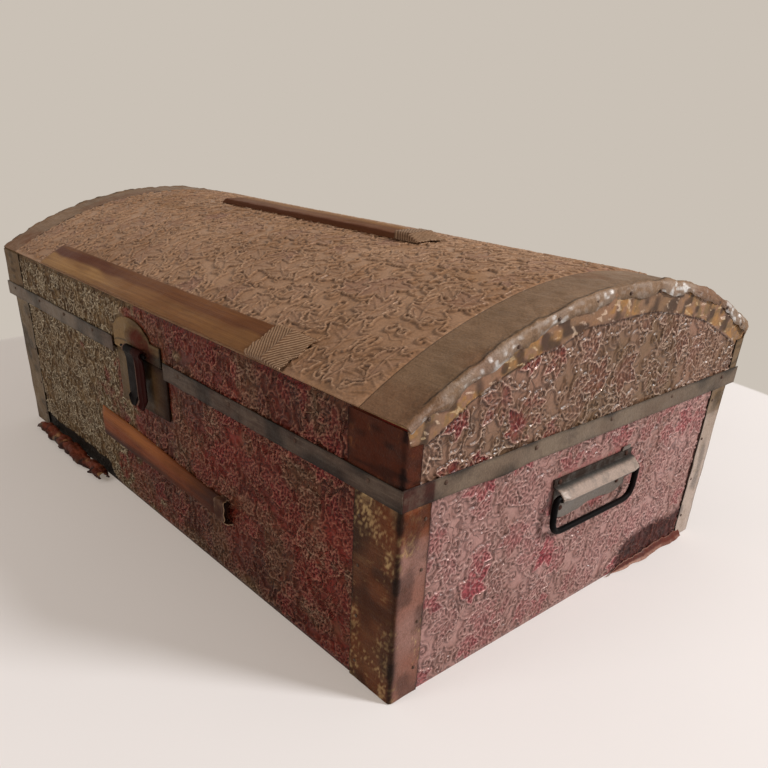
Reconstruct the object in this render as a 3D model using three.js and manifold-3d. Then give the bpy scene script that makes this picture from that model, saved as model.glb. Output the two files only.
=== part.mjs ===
// Small dome top trunk: a pine box and a low arched lid, both covered in sheet tin.
// Millimetres, +Z up, origin at the centre of the underside, front towards -Y, long axis along X.
import * as THREE from 'three';
import { mergeVertices } from 'three/addons/utils/BufferGeometryUtils.js';
import Module from 'manifold-3d';

const wasm = await Module();
wasm.setup();

// Driving dimensions
const BODY_L = 748;            // over the body's end tins
const BODY_D = 450;            // over the body's front and back tins
const BODY_TOP = 180.2;        // top edge of the body's boards
const LID_BOTTOM = 180.8;      // lower edge of the lid's boards
const LID_L = 755;
const LID_D = 457;
const SPRING_Z = 232;          // where the dome starts at the front and back
const RISE = 62.5;             // the dome's height above that line
const BOARD = 10;              // pine walls and bottom
const STAVE = 8;               // boards that close the dome
const STAVE_COUNT = 5;
const TIN = 0.8;
const GAP = 0.3;               // between pieces that touch
const LAP = TIN + GAP;         // how far a tin laid over another one stands out
const BAND = 1.2;              // steel band over the joint
const BAND_LOW = 173;
const BAND_HIGH = 189.5;
const HINGE_Y = BODY_D / 2 + 9.6;
const HINGE_Z = 180.5;
const LID_OPEN_CLEAR = 0.3;    // lower edge of the lid's tins above the boards' edge
const ARC_STEPS = 30;          // straight steps across the dome
const LEAST_STEP = 0.004;      // radians, so that no step at an arc's end is a sliver

// Worked out from them
const HALF_L = BODY_L / 2;
const HALF_D = BODY_D / 2;
const LID_HALF_L = LID_L / 2;
const LID_HALF_D = LID_D / 2;
const DOME_R = (LID_HALF_D ** 2 + RISE ** 2) / (2 * RISE);
const DOME_Z = SPRING_Z + RISE - DOME_R;
const STAVE_OUT_R = DOME_R - TIN - GAP;
const STAVE_IN_R = STAVE_OUT_R - STAVE;
const LID_TIN_LOW = LID_BOTTOM + LID_OPEN_CLEAR;

// Materials
const WOOD = { color: 0xa9855a, roughness: 0.8, metalness: 0 };
const SLAT_WOOD = { color: 0x8a5a33, roughness: 0.65, metalness: 0 };
const FRONT_TIN = { color: 0x54302b, roughness: 0.5, metalness: 0.3 };
const END_TIN = { color: 0x9a7169, roughness: 0.45, metalness: 0.3 };
const DOME_TIN = { color: 0x84684d, roughness: 0.55, metalness: 0.25 };
const PLAIN_TIN = { color: 0x7a664c, roughness: 0.5, metalness: 0.4 };
const STEEL = { color: 0x4a413d, roughness: 0.45, metalness: 0.7 };
const LOCK_STEEL = { color: 0x4b3629, roughness: 0.5, metalness: 0.6 };
const BLACK_STEEL = { color: 0x17171a, roughness: 0.4, metalness: 0.7 };
const GREY_STEEL = { color: 0x8a857b, roughness: 0.4, metalness: 0.7 };
const TORN_TIN = { color: 0x5d2c22, roughness: 0.7, metalness: 0.2 };

const trunk = new THREE.Group();

function addPiece(name, finish, geometry) {
  const mesh = new THREE.Mesh(geometry, new THREE.MeshStandardMaterial(finish));
  mesh.name = name;
  trunk.add(mesh);
  return mesh;
}

// Solid shapes

function box(x0, x1, y0, y1, z0, z1) {
  const geometry = new THREE.BoxGeometry(x1 - x0, y1 - y0, z1 - z0);
  return geometry.translate((x0 + x1) / 2, (y0 + y1) / 2, (z0 + z1) / 2);
}

// An outline of [y, z] points drawn out along X
function alongX(points, x0, x1) {
  const shape = new THREE.Shape(points.map(([y, z]) => new THREE.Vector2(y, z)));
  const geometry = new THREE.ExtrudeGeometry(shape, { depth: x1 - x0, bevelEnabled: false });
  const turn = new THREE.Matrix4().makeBasis(
    new THREE.Vector3(0, 1, 0), new THREE.Vector3(0, 0, 1), new THREE.Vector3(1, 0, 0));
  return geometry.applyMatrix4(turn).translate(x0, 0, 0);
}

// An outline of [x, z] points drawn out along Y
function alongY(points, y0, y1) {
  const shape = new THREE.Shape(points.map(([x, z]) => new THREE.Vector2(x, z)));
  const geometry = new THREE.ExtrudeGeometry(shape, { depth: y1 - y0, bevelEnabled: false });
  const turn = new THREE.Matrix4().makeBasis(
    new THREE.Vector3(1, 0, 0), new THREE.Vector3(0, 0, 1), new THREE.Vector3(0, -1, 0));
  return geometry.applyMatrix4(turn).translate(0, y1, 0);
}

function rodAlongX(x0, x1, y, z, radius, sides = 20) {
  const geometry = new THREE.CylinderGeometry(radius, radius, x1 - x0, sides);
  return geometry.rotateZ(Math.PI / 2).translate((x0 + x1) / 2, y, z);
}

function toSolid(geometry) {
  const bare = geometry.clone();
  bare.deleteAttribute('normal');
  bare.deleteAttribute('uv');
  const merged = mergeVertices(bare, 1e-4);
  const vertProperties = new Float32Array(merged.attributes.position.array);
  const triVerts = new Uint32Array(merged.index.array);
  return new wasm.Manifold(new wasm.Mesh({ numProp: 3, vertProperties, triVerts }));
}

function meshGeometry(vertices, faces) {
  const geometry = new THREE.BufferGeometry();
  geometry.setAttribute('position', new THREE.BufferAttribute(new Float32Array(vertices), 3));
  geometry.setIndex(faces);
  geometry.computeVertexNormals();
  return geometry;
}

function toGeometry(solid) {
  const mesh = solid.getMesh();
  return meshGeometry(Array.from(mesh.vertProperties), Array.from(mesh.triVerts));
}

function join(parts, cuts = []) {
  let solid = parts.map(toSolid).reduce((sum, next) => sum.add(next));
  for (const cut of cuts) {
    solid = solid.subtract(toSolid(cut));
  }
  return toGeometry(solid);
}

// Points of an arc about the dome's centre line, from y0 to y1 at radius r.
// Every arc uses the same steps, so the faces of neighbouring pieces lie parallel.
function domeArc(r, y0, y1) {
  const full = Math.asin(LID_HALF_D / DOME_R);
  const from = Math.asin(y0 / r);
  const to = Math.asin(y1 / r);
  const angles = [from];
  for (let i = 0; i <= ARC_STEPS; i += 1) {
    const angle = -full + (2 * full * i) / ARC_STEPS;
    if (angle > from + LEAST_STEP && angle < to - LEAST_STEP) {
      angles.push(angle);
    }
  }
  angles.push(to);
  return angles.map((a) => [r * Math.sin(a), DOME_Z + r * Math.cos(a)]);
}

// A curved sheet between two radii, cut upright at y0 and y1
function domeSheet(rIn, rOut, y0, y1, x0, x1) {
  const outline = [...domeArc(rIn, y0, y1), ...domeArc(rOut, y0, y1).reverse()];
  return alongX(outline, x0, x1);
}

// The body: five boards, four tins and four corner tins

const LOCK_X = -4;                       // centre of the lock on the front
const LOCK_CASE = { w: 60, low: 128, high: 168, depth: 11 };
const LOCK_SLOT = { w: 12, low: 138, high: 155 };

const BOARD_L = HALF_L - LAP;            // outer faces of the body's boards
const BOARD_D = HALF_D - LAP;

function lockSlot(y0, y1) {
  return box(LOCK_X - LOCK_SLOT.w / 2, LOCK_X + LOCK_SLOT.w / 2, y0, y1, LOCK_SLOT.low, LOCK_SLOT.high);
}

function addBodyBoards() {
  const low = BOARD + GAP;
  addPiece('body_bottom_board', WOOD, box(-BOARD_L, BOARD_L, -BOARD_D, BOARD_D, 0, BOARD));
  const front = box(-BOARD_L, BOARD_L, -BOARD_D, -BOARD_D + BOARD, low, BODY_TOP);
  const mortise = box(LOCK_X - LOCK_CASE.w / 2, LOCK_X + LOCK_CASE.w / 2,
    -BOARD_D - 1, -BOARD_D + BOARD + 1, LOCK_CASE.low, LOCK_CASE.high);
  addPiece('body_front_board', WOOD, join([front], [mortise]));
  addPiece('body_back_board', WOOD, box(-BOARD_L, BOARD_L, BOARD_D - BOARD, BOARD_D, low, BODY_TOP));
  const between = BOARD_D - BOARD - GAP;
  addPiece('body_left_end_board', WOOD, box(-BOARD_L, -BOARD_L + BOARD, -between, between, low, BODY_TOP));
  addPiece('body_right_end_board', WOOD, box(BOARD_L - BOARD, BOARD_L, -between, between, low, BODY_TOP));
}

const BODY_TIN_LOW = 1.5;
const BODY_TIN_HIGH = BODY_TOP - GAP;

function addBodyTins() {
  const front = box(-HALF_L, HALF_L, -HALF_D, -HALF_D + TIN, BODY_TIN_LOW, BODY_TIN_HIGH);
  addPiece('body_front_tin', FRONT_TIN, join([front], [lockSlot(-HALF_D - 1, -HALF_D + 2)]));
  addPiece('body_back_tin', FRONT_TIN,
    box(-HALF_L, HALF_L, HALF_D - TIN, HALF_D, BODY_TIN_LOW, BODY_TIN_HIGH));
  addPiece('body_left_end_tin', END_TIN,
    box(-HALF_L, -HALF_L + TIN, -BOARD_D, BOARD_D, BODY_TIN_LOW, BODY_TIN_HIGH));
  addPiece('body_right_end_tin', END_TIN,
    box(HALF_L - TIN, HALF_L, -BOARD_D, BOARD_D, BODY_TIN_LOW, BODY_TIN_HIGH));
}

// A plain tin folded round one upright corner. sx and sy say which corner.
function cornerTin(sx, sy, halfL, halfD, longLeg, endLeg, low, longHigh, endHigh) {
  const outX = sx * (halfL + LAP);
  const outY = sy * (halfD + LAP);
  const inX = sx * (halfL + GAP);
  const inY = sy * (halfD + GAP);
  const legX = sx * (halfL + LAP - longLeg);
  const legY = sy * (halfD + LAP - endLeg);
  const face = box(Math.min(outX, legX), Math.max(outX, legX), Math.min(outY, inY), Math.max(outY, inY),
    low, longHigh);
  const side = box(Math.min(outX, inX), Math.max(outX, inX), Math.min(outY, legY), Math.max(outY, legY),
    low, endHigh);
  return join([face, side]);
}

const CORNERS = [['front_left', -1, -1], ['front_right', 1, -1], ['back_left', -1, 1],
  ['back_right', 1, 1]];
const BODY_CORNER = { longLeg: 48, endLeg: 29 };
const LID_CORNER = { longLeg: 56, endLeg: 16, longHigh: SPRING_Z - 2, endHigh: 212 };

function addCornerTins() {
  for (const [name, sx, sy] of CORNERS) {
    addPiece(`body_corner_tin_${name}`, PLAIN_TIN, cornerTin(sx, sy, HALF_L, HALF_D,
      BODY_CORNER.longLeg, BODY_CORNER.endLeg, BODY_TIN_LOW, BODY_TIN_HIGH, BODY_TIN_HIGH));
    addPiece(`lid_corner_tin_${name}`, PLAIN_TIN, cornerTin(sx, sy, LID_HALF_L, LID_HALF_D,
      LID_CORNER.longLeg, LID_CORNER.endLeg, LID_TIN_LOW, LID_CORNER.longHigh, LID_CORNER.endHigh));
  }
}

// The lid: four boards, five staves, their tins, and the folded strips at the dome's ends

const LID_BOARD_L = LID_HALF_L - LAP;
const LID_BOARD_D = LID_HALF_D - LAP;

function addLidBoards() {
  const r = STAVE_IN_R - GAP;
  const inner = LID_BOARD_D - BOARD;
  const front = [[-LID_BOARD_D, LID_BOTTOM], [-inner, LID_BOTTOM],
    ...domeArc(r, -LID_BOARD_D, -inner).reverse()];
  const back = [[inner, LID_BOTTOM], [LID_BOARD_D, LID_BOTTOM],
    ...domeArc(r, inner, LID_BOARD_D).reverse()];
  addPiece('lid_front_board', WOOD, alongX(front, -LID_BOARD_L, LID_BOARD_L));
  addPiece('lid_back_board', WOOD, alongX(back, -LID_BOARD_L, LID_BOARD_L));
  const between = inner - GAP;
  const arch = [[-between, LID_BOTTOM], [between, LID_BOTTOM], ...domeArc(r, -between, between).reverse()];
  addPiece('lid_left_end_board', WOOD, alongX(arch, -LID_BOARD_L, -LID_BOARD_L + BOARD));
  addPiece('lid_right_end_board', WOOD, alongX(arch, LID_BOARD_L - BOARD, LID_BOARD_L));
}

// The staves meet on planes through the dome's centre line
function addStaves() {
  const full = Math.asin(LID_HALF_D / DOME_R);
  const halfGap = GAP / 2 / STAVE_IN_R;
  for (let i = 0; i < STAVE_COUNT; i += 1) {
    const from = -full + (2 * full * i) / STAVE_COUNT + halfGap;
    const to = -full + (2 * full * (i + 1)) / STAVE_COUNT - halfGap;
    const edge = (r, a, last) => (last ? Math.sign(a) * LID_BOARD_D : r * Math.sin(a));
    const arcAt = (r) => domeArc(r, edge(r, from, i === 0), edge(r, to, i === STAVE_COUNT - 1));
    const outline = [...arcAt(STAVE_IN_R), ...arcAt(STAVE_OUT_R).reverse()];
    addPiece(`dome_stave_${i + 1}`, WOOD, alongX(outline, -LID_BOARD_L, LID_BOARD_L));
  }
}

const LID_TIN_HIGH = SPRING_Z - 1.3;
const STRIP_W = 46;                      // plain strip on the dome at each end
const FLANGE_H = 16;                     // its crumpled edge, folded down over the end

function addLidTins() {
  addPiece('lid_front_tin', FRONT_TIN,
    box(-LID_HALF_L, LID_HALF_L, -LID_HALF_D, -LID_HALF_D + TIN, LID_TIN_LOW, LID_TIN_HIGH));
  addPiece('lid_back_tin', FRONT_TIN,
    box(-LID_HALF_L, LID_HALF_L, LID_HALF_D - TIN, LID_HALF_D, LID_TIN_LOW, LID_TIN_HIGH));
  const arch = [[-LID_BOARD_D, LID_TIN_LOW], [LID_BOARD_D, LID_TIN_LOW],
    ...domeArc(DOME_R - LAP, -LID_BOARD_D, LID_BOARD_D).reverse()];
  addPiece('lid_left_end_tin', END_TIN, alongX(arch, -LID_HALF_L, -LID_HALF_L + TIN));
  addPiece('lid_right_end_tin', END_TIN, alongX(arch, LID_HALF_L - TIN, LID_HALF_L));
  const end = LID_HALF_L - STRIP_W;
  addPiece('dome_tin', DOME_TIN, domeSheet(DOME_R - TIN, DOME_R, -LID_HALF_D, LID_HALF_D, -end, end));
}

function addDomeStrips() {
  for (const [name, side] of [['left', -1], ['right', 1]]) {
    const inside = side * (LID_HALF_L - STRIP_W + GAP);
    const outside = side * (LID_HALF_L + LAP);
    const flangeIn = side * (LID_HALF_L + GAP);
    const sheet = domeSheet(DOME_R - TIN, DOME_R, -LID_HALF_D, LID_HALF_D,
      Math.min(inside, outside), Math.max(inside, outside));
    const flange = domeSheet(DOME_R - FLANGE_H, DOME_R - TIN / 2, -LID_HALF_D, LID_HALF_D,
      Math.min(flangeIn, outside), Math.max(flangeIn, outside));
    addPiece(`dome_strip_${name}`, PLAIN_TIN, join([sheet, flange]));
  }
}

// Wooden slats, each with a pressed tin cap over its right end

const SLAT_THICK = 6;
const SLAT_EDGE = 1.5;                   // what the bevel leaves of the slat's thickness
const SLAT_BEVEL = 14;                   // length of the bevel under the cap, twice the other end's
const CAP_L = 46;
const CAP_ON_SLAT = 16;                  // how much of the cap lies on the slat's flat top
const CAP_TOE = 5;                       // length of the cap's solid tip

// A slat lies along X on the plane z = 0, with both ends bevelled
function slatGeometry(x0, x1, width, thick) {
  const outline = [[x0, 0], [x1, 0], [x1, SLAT_EDGE], [x1 - SLAT_BEVEL, thick],
    [x0 + SLAT_BEVEL / 2, thick], [x0, SLAT_EDGE]];
  return alongY(outline, -width / 2, width / 2);
}

function slatCapGeometry(slatEnd, width, thick) {
  const x0 = slatEnd - CAP_ON_SLAT;
  const x1 = x0 + CAP_L;
  const top = thick + GAP + TIN;
  const wide = width / 2 + GAP + TIN;
  const cover = alongY([[x0, 0], [x1, 0], [x1, TIN], [slatEnd, top], [x0, top]], -wide, wide);
  const room = alongY([[x0 - 1, -1], [x1 - CAP_TOE, -1], [slatEnd - 1, thick + GAP],
    [x0 - 1, thick + GAP]], -wide + TIN, wide - TIN);
  return join([cover], [room]);
}

const SLAT_LIFT = 0.5;                   // under a flat slat's middle, as its edges touch the dome first

// Puts a piece made on z = 0 onto the dome at the given y
function ontoDome(geometry, y) {
  const angle = Math.asin(y / DOME_R);
  const r = DOME_R + SLAT_LIFT;
  return geometry.rotateX(-angle).translate(0, r * Math.sin(angle), DOME_Z + r * Math.cos(angle));
}

const TOP_SLAT = { x0: -197, x1: 152, y: -4, width: 30, thick: SLAT_THICK };
const FRONT_SLAT = { x0: -245, x1: 214, y: -211, width: 28, thick: 3.5 };
const LOWER_SLAT = { x0: -123, x1: 148, z: 79, width: 30, thick: SLAT_THICK + 1 };

function addSlats() {
  for (const [name, slat] of [['top', TOP_SLAT], ['front_dome', FRONT_SLAT]]) {
    addPiece(`${name}_slat`, SLAT_WOOD,
      ontoDome(slatGeometry(slat.x0, slat.x1, slat.width, slat.thick), slat.y));
    addPiece(`${name}_slat_cap`, PLAIN_TIN,
      ontoDome(slatCapGeometry(slat.x1, slat.width, slat.thick), slat.y));
  }
  addPiece('back_dome_slat', SLAT_WOOD, ontoDome(
    slatGeometry(FRONT_SLAT.x0, FRONT_SLAT.x1, FRONT_SLAT.width, FRONT_SLAT.thick), -FRONT_SLAT.y));
  const ontoFront = (geometry) => geometry.rotateX(Math.PI / 2).translate(0, -HALF_D - GAP, LOWER_SLAT.z);
  addPiece('lower_slat', SLAT_WOOD,
    ontoFront(slatGeometry(LOWER_SLAT.x0, LOWER_SLAT.x1, LOWER_SLAT.width, LOWER_SLAT.thick)));
  addPiece('lower_slat_cap', PLAIN_TIN,
    ontoFront(slatCapGeometry(LOWER_SLAT.x1, LOWER_SLAT.width, LOWER_SLAT.thick)));
}

// The steel band over the joint, in four lengths nailed to the lid

const LOCK_LEFT = -57;
const LOCK_RIGHT = 48;
const BAND_CLEAR = 3;                    // from the lock's plates to the ends of the band

function addBands() {
  const outX = LID_HALF_L + LAP + GAP + BAND;
  const outY = LID_HALF_D + LAP + GAP + BAND;
  const front = -outY;
  addPiece('lid_band_front_left', STEEL,
    box(-outX, LOCK_LEFT - BAND_CLEAR, front, front + BAND, BAND_LOW, BAND_HIGH));
  addPiece('lid_band_front_right', STEEL,
    box(LOCK_RIGHT + BAND_CLEAR, outX, front, front + BAND, BAND_LOW, BAND_HIGH));
  const reach = outY - BAND - GAP;
  addPiece('lid_band_left', STEEL, box(-outX, -outX + BAND, -reach, reach, BAND_LOW, BAND_HIGH));
  addPiece('lid_band_right', STEEL, box(outX - BAND, outX, -reach, reach, BAND_LOW, BAND_HIGH));
}

// The lock: a plate and a mortised case on the body, a hinge plate on the lid, and the hasp between

const LOCK_PLATE = { lowLeft: 124, lowRight: 128, high: 179.3, thick: 2 };
const HASP_PLATE = { low: 182, shoulder: 201, shoulderX: 26, thick: 1.5 };
const HASP_PLATE_ROUND = { x: -14, z: 196, halfW: 41, tall: 21 };    // its rounded top, half an ellipse
const HASP_PIN = { y: -LID_HALF_D - 6.4, z: 188, r: 1.5 };
const PIN_ROOM = 0.2;
const HASP_KNUCKLE = { r: 3.6, long: 10, arm: 2 };
const HASP = { left: -18.7, right: 14.7, low: 132, thick: 2, rib: 3, ribHeight: 0.6 };
const HASP_CATCH = { halfW: 3, low: 145, high: 152, clear: 1.3 };   // clear of the plate's face at rest
const LOCK_POCKET = 8;                   // depth of the slot in the lock's case

function addLock() {
  const face = -HALF_D - GAP;
  const plate = alongY([[LOCK_LEFT, LOCK_PLATE.lowLeft], [LOCK_RIGHT, LOCK_PLATE.lowRight],
    [LOCK_RIGHT, LOCK_PLATE.high], [LOCK_LEFT, LOCK_PLATE.high]], face - LOCK_PLATE.thick, face);
  addPiece('lock_plate', LOCK_STEEL, join([plate], [lockSlot(face - LOCK_PLATE.thick - 1, face + 1)]));
  const caseHalf = LOCK_CASE.w / 2 - GAP;
  const caseFront = -HALF_D + LAP;
  const body = box(LOCK_X - caseHalf, LOCK_X + caseHalf, caseFront, caseFront + LOCK_CASE.depth,
    LOCK_CASE.low + GAP, LOCK_CASE.high - GAP);
  addPiece('lock_case', BLACK_STEEL, join([body], [lockSlot(caseFront - 1, caseFront + LOCK_POCKET)]));
}

function haspPlateOutline() {
  const inset = 2;
  const { low, shoulder, shoulderX } = HASP_PLATE;
  const points = [[LOCK_LEFT + inset, low], [LOCK_RIGHT - inset, low], [LOCK_RIGHT - inset, shoulder],
    [shoulderX, shoulder]];
  const { x, z, halfW, tall } = HASP_PLATE_ROUND;
  const steps = 12;
  for (let i = 1; i <= steps; i += 1) {
    const a = (Math.PI * i) / steps;
    points.push([x + halfW * Math.cos(a), z + tall * Math.sin(a)]);
  }
  return points;
}

function addHaspPlate() {
  const { y, z, r } = HASP_PIN;
  const face = -LID_HALF_D - GAP;
  const parts = [alongY(haspPlateOutline(), face - HASP_PLATE.thick, face)];
  const left = HASP.left - GAP;
  const right = HASP.right + GAP;
  for (const [x0, x1] of [[left - HASP_KNUCKLE.long, left], [right, right + HASP_KNUCKLE.long]]) {
    parts.push(rodAlongX(x0, x1, y, z, HASP_KNUCKLE.r));
    parts.push(box(x0, x1, y + r + PIN_ROOM, face - HASP_PLATE.thick / 2,
      z - HASP_KNUCKLE.arm, z + HASP_KNUCKLE.arm));
  }
  const reach = HASP_KNUCKLE.long + 1;
  addPiece('hasp_plate', LOCK_STEEL,
    join(parts, [rodAlongX(left - reach, right + reach, y, z, r + PIN_ROOM)]));
  const pinShort = 0.5;
  addPiece('hasp_pin', BLACK_STEEL, rodAlongX(left - HASP_KNUCKLE.long + pinShort,
    right + HASP_KNUCKLE.long - pinShort, y, z, r));
}

// The hasp hangs straight down from its pin, unlatched. Pushed in, its catch enters the lock's slot.
function addHasp() {
  const { y, z, r } = HASP_PIN;
  const { left, right, low, thick, rib, ribHeight } = HASP;
  const front = y - thick / 2;
  const back = y + thick / 2;
  const lip = { out: 3, below: 2, thick: 1.4 };          // the lower edge turns out for a finger
  const profile = [[back, z], [front, z], [front, low + 3], [front - lip.out, low - lip.below],
    [front - lip.out + lip.thick, low - lip.below - 1], [back, low]];
  const parts = [alongX(profile, left, right), rodAlongX(left, right, y, z, HASP_KNUCKLE.r)];
  const ribInset = 8;
  for (const x of [left + ribInset, right - ribInset - rib]) {
    parts.push(box(x, x + rib, front - ribHeight, y, low + 6, z - 8));
  }
  const plateFront = -HALF_D - GAP - LOCK_PLATE.thick;
  parts.push(box(LOCK_X - HASP_CATCH.halfW, LOCK_X + HASP_CATCH.halfW, y, plateFront - HASP_CATCH.clear,
    HASP_CATCH.low, HASP_CATCH.high));
  addPiece('hasp', BLACK_STEEL, join(parts, [rodAlongX(left - 1, right + 1, y, z, r + PIN_ROOM)]));
}

// Two hinges on the back, each a body leaf, a lid leaf and a pin

const HINGE_X = 220;
const HINGE_W = 60;
const HINGE_R = 3.8;
const HINGE_PIN_R = 1.6;
const HINGE_LEAF = { thick: 1.5, bodyLow: 140, bodyHigh: 179, lidLow: 185, lidHigh: 222 };
const HINGE_TAB = { near: 2, far: 3.6 };         // heights from the pin of a leaf's tab to its knuckle
const LID_KNUCKLE_HALF = 10;                     // half the length of the lid leaf's middle knuckle

function addHinge(name, x) {
  const { thick, bodyLow, bodyHigh, lidLow, lidHigh } = HINGE_LEAF;
  const left = x - HINGE_W / 2;
  const right = x + HINGE_W / 2;
  const cutLeft = x - LID_KNUCKLE_HALF;
  const cutRight = x + LID_KNUCKLE_HALF;
  const pinHole = rodAlongX(left - 1, right + 1, HINGE_Y, HINGE_Z, HINGE_PIN_R + PIN_ROOM);
  const bodyFace = HALF_D + GAP;
  const bodyParts = [box(left, right, bodyFace, bodyFace + thick, bodyLow, bodyHigh)];
  for (const [x0, x1] of [[left, cutLeft - GAP], [cutRight + GAP, right]]) {
    bodyParts.push(rodAlongX(x0, x1, HINGE_Y, HINGE_Z, HINGE_R));
    bodyParts.push(box(x0, x1, bodyFace + thick / 2, HINGE_Y,
      HINGE_Z - HINGE_TAB.far, HINGE_Z - HINGE_TAB.near));
  }
  addPiece(`hinge_body_leaf_${name}`, STEEL, join(bodyParts, [pinHole]));
  const lidFace = LID_HALF_D + GAP;
  const tabLow = HINGE_Z + HINGE_TAB.near;
  const lidParts = [box(left, right, lidFace, lidFace + thick, lidLow, lidHigh),
    rodAlongX(cutLeft, cutRight, HINGE_Y, HINGE_Z, HINGE_R),
    box(cutLeft, cutRight, lidFace, HINGE_Y, tabLow, HINGE_Z + HINGE_TAB.far),
    box(cutLeft, cutRight, lidFace, lidFace + thick, tabLow, lidLow + 1)];
  addPiece(`hinge_lid_leaf_${name}`, STEEL, join(lidParts, [pinHole]));
  const pinShort = 0.5;
  addPiece(`hinge_pin_${name}`, BLACK_STEEL,
    rodAlongX(left + pinShort, right - pinShort, HINGE_Y, HINGE_Z, HINGE_PIN_R));
}

// A drop handle at each end: a plate whose hood holds the top bar of a closed D-shaped bail

const HANDLE_Y = 4;
const HANDLE_HALF = 57;                  // half the plate's width
const BAIL_HALF = 60.5;                  // bail's half width on its centre line
const BAIL_DROP = 33;
const BAIL_WIRE = 2.6;
const BAIL_Z = 129;
const BAIL_OUT = 8.2;                    // bail's pivot line out from the end tin
const BAIL_CORNER = 13;
const BAIL_TOP_CORNER = 4;

// Built for the right end, then turned half a circle about Z for the left one
function placeHandle(geometry, side) {
  const moved = geometry.translate(HALF_L, HANDLE_Y, 0);
  return side > 0 ? moved : moved.rotateZ(Math.PI);
}

const HANDLE_PLATE = { low: 112, high: 146, thick: 1.3 };

// A flat back plate whose middle is folded out into a hood over the bail's top bar
function handlePlate() {
  const { low, high, thick } = HANDLE_PLATE;
  const back = GAP;
  const front = back + thick;
  const hood = [[back, high], [back, low], [front, low], [front, 134.8], [12.2, 132.2], [14.2, 129.5],
    [13.4, 124.2], [10.2, 123.2], [10.2, 121.9], [14.2, 123.1], [15.6, 129.4], [13.2, 133.4],
    [front, 136.4], [front, high]];
  return alongY(hood, -HANDLE_HALF, HANDLE_HALF);
}

// A closed wire ring: straight top bar, rounded lower corners
function bailRing() {
  const path = new THREE.CurvePath();
  const top = BAIL_Z;
  const low = BAIL_Z - BAIL_DROP;
  const at = (y, z) => new THREE.Vector3(BAIL_OUT, y, z);
  const corners = [
    [BAIL_HALF, top, BAIL_TOP_CORNER], [BAIL_HALF, low, BAIL_CORNER], [-BAIL_HALF, low, BAIL_CORNER],
    [-BAIL_HALF, top, BAIL_TOP_CORNER]];
  const ends = [];
  corners.forEach(([y, z, r], i) => {
    const [py, pz] = corners[(i + 3) % 4];
    const [ny, nz] = corners[(i + 1) % 4];
    const before = at(y + Math.sign(py - y) * r, z + Math.sign(pz - z) * r);
    const after = at(y + Math.sign(ny - y) * r, z + Math.sign(nz - z) * r);
    ends.push({ before, corner: at(y, z), after, r });
  });
  const points = [];
  for (const { before, corner, after, r } of ends) {
    const steps = r > BAIL_TOP_CORNER ? 5 : 3;
    const bend = new THREE.QuadraticBezierCurve3(before, corner, after);
    points.push(...bend.getPoints(steps));
  }
  const sides = 10;
  return wireLoop(points, BAIL_WIRE, sides);
}

// A closed wire of round section through the given points of a plane x = const
function wireLoop(points, radius, sides) {
  const count = points.length;
  const rings = [];
  for (let i = 0; i < count; i += 1) {
    const before = points[(i + count - 1) % count];
    const here = points[i];
    const after = points[(i + 1) % count];
    const inward = here.clone().sub(before).normalize();
    const outward = after.clone().sub(here).normalize();
    const along = inward.clone().add(outward).normalize();
    const across = new THREE.Vector3(1, 0, 0).cross(along).normalize();
    const stretch = 1 / Math.max(0.7, across.dot(new THREE.Vector3(1, 0, 0).cross(outward).normalize()));
    for (let k = 0; k < sides; k += 1) {
      const a = (2 * Math.PI * k) / sides;
      const p = here.clone();
      p.addScaledVector(across, Math.cos(a) * radius * stretch);
      p.x += Math.sin(a) * radius;
      rings.push(p.x, p.y, p.z);
    }
  }
  const faces = [];
  for (let i = 0; i < count; i += 1) {
    const next = (i + 1) % count;
    for (let k = 0; k < sides; k += 1) {
      const k2 = (k + 1) % sides;
      faces.push(i * sides + k, i * sides + k2, next * sides + k2);
      faces.push(i * sides + k, next * sides + k2, next * sides + k);
    }
  }
  return meshGeometry(rings, faces);
}

function addHandles() {
  for (const [name, side] of [['left', -1], ['right', 1]]) {
    addPiece(`handle_plate_${name}`, GREY_STEEL, placeHandle(handlePlate(), side));
    addPiece(`bail_${name}`, BLACK_STEEL, placeHandle(bailRing(), side));
  }
}

// A length of the base tin torn off the front, left standing on its edge before the left corner.
// Points of its middle line: x, distance out from the front's tins, and z.
const TORN_LINE = [[-336, 14, 9.6], [-300, 20, 9.2], [-262, 12, 9.6], [-213, 5, 9.8], [-160, 5, 9.4],
  [-116, 8, 9.2]];
const TORN_HALF_THICK = 1.2;
const TORN_HALF_TALL = 8.6;

function addTornStrip() {
  const clear = -HALF_D - LAP;
  const points = TORN_LINE.map(([x, out, z]) => new THREE.Vector3(x, clear - out, z));
  const line = new THREE.CatmullRomCurve3(points);
  const section = [[-TORN_HALF_TALL, -TORN_HALF_THICK], [TORN_HALF_TALL, -TORN_HALF_THICK],
    [TORN_HALF_TALL, TORN_HALF_THICK], [-TORN_HALF_TALL, TORN_HALF_THICK]];
  const steps = 24;
  const vertices = [];
  for (let i = 0; i <= steps; i += 1) {
    const p = line.getPoint(i / steps);
    const t = line.getTangent(i / steps);
    const side = new THREE.Vector2(-t.y, t.x).normalize();
    for (const [up, across] of section) {
      vertices.push(p.x + side.x * across, p.y + side.y * across, p.z + up);
    }
  }
  const faces = [];
  for (let i = 0; i < steps; i += 1) {
    for (let k = 0; k < section.length; k += 1) {
      const a = i * section.length + k;
      const b = i * section.length + ((k + 1) % section.length);
      faces.push(a, b + section.length, b, a, a + section.length, b + section.length);
    }
  }
  const last = steps * section.length;
  faces.push(0, 1, 2, 0, 2, 3, last, last + 2, last + 1, last, last + 3, last + 2);
  addPiece('torn_base_strip', TORN_TIN, meshGeometry(vertices, faces));
}

addBodyBoards();
addBodyTins();
addCornerTins();
addLidBoards();
addStaves();
addLidTins();
addDomeStrips();
addSlats();
addBands();
addLock();
addHaspPlate();
addHasp();
addHinge('left', -HINGE_X);
addHinge('right', HINGE_X);
addHandles();
addTornStrip();

export default trunk;
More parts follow.
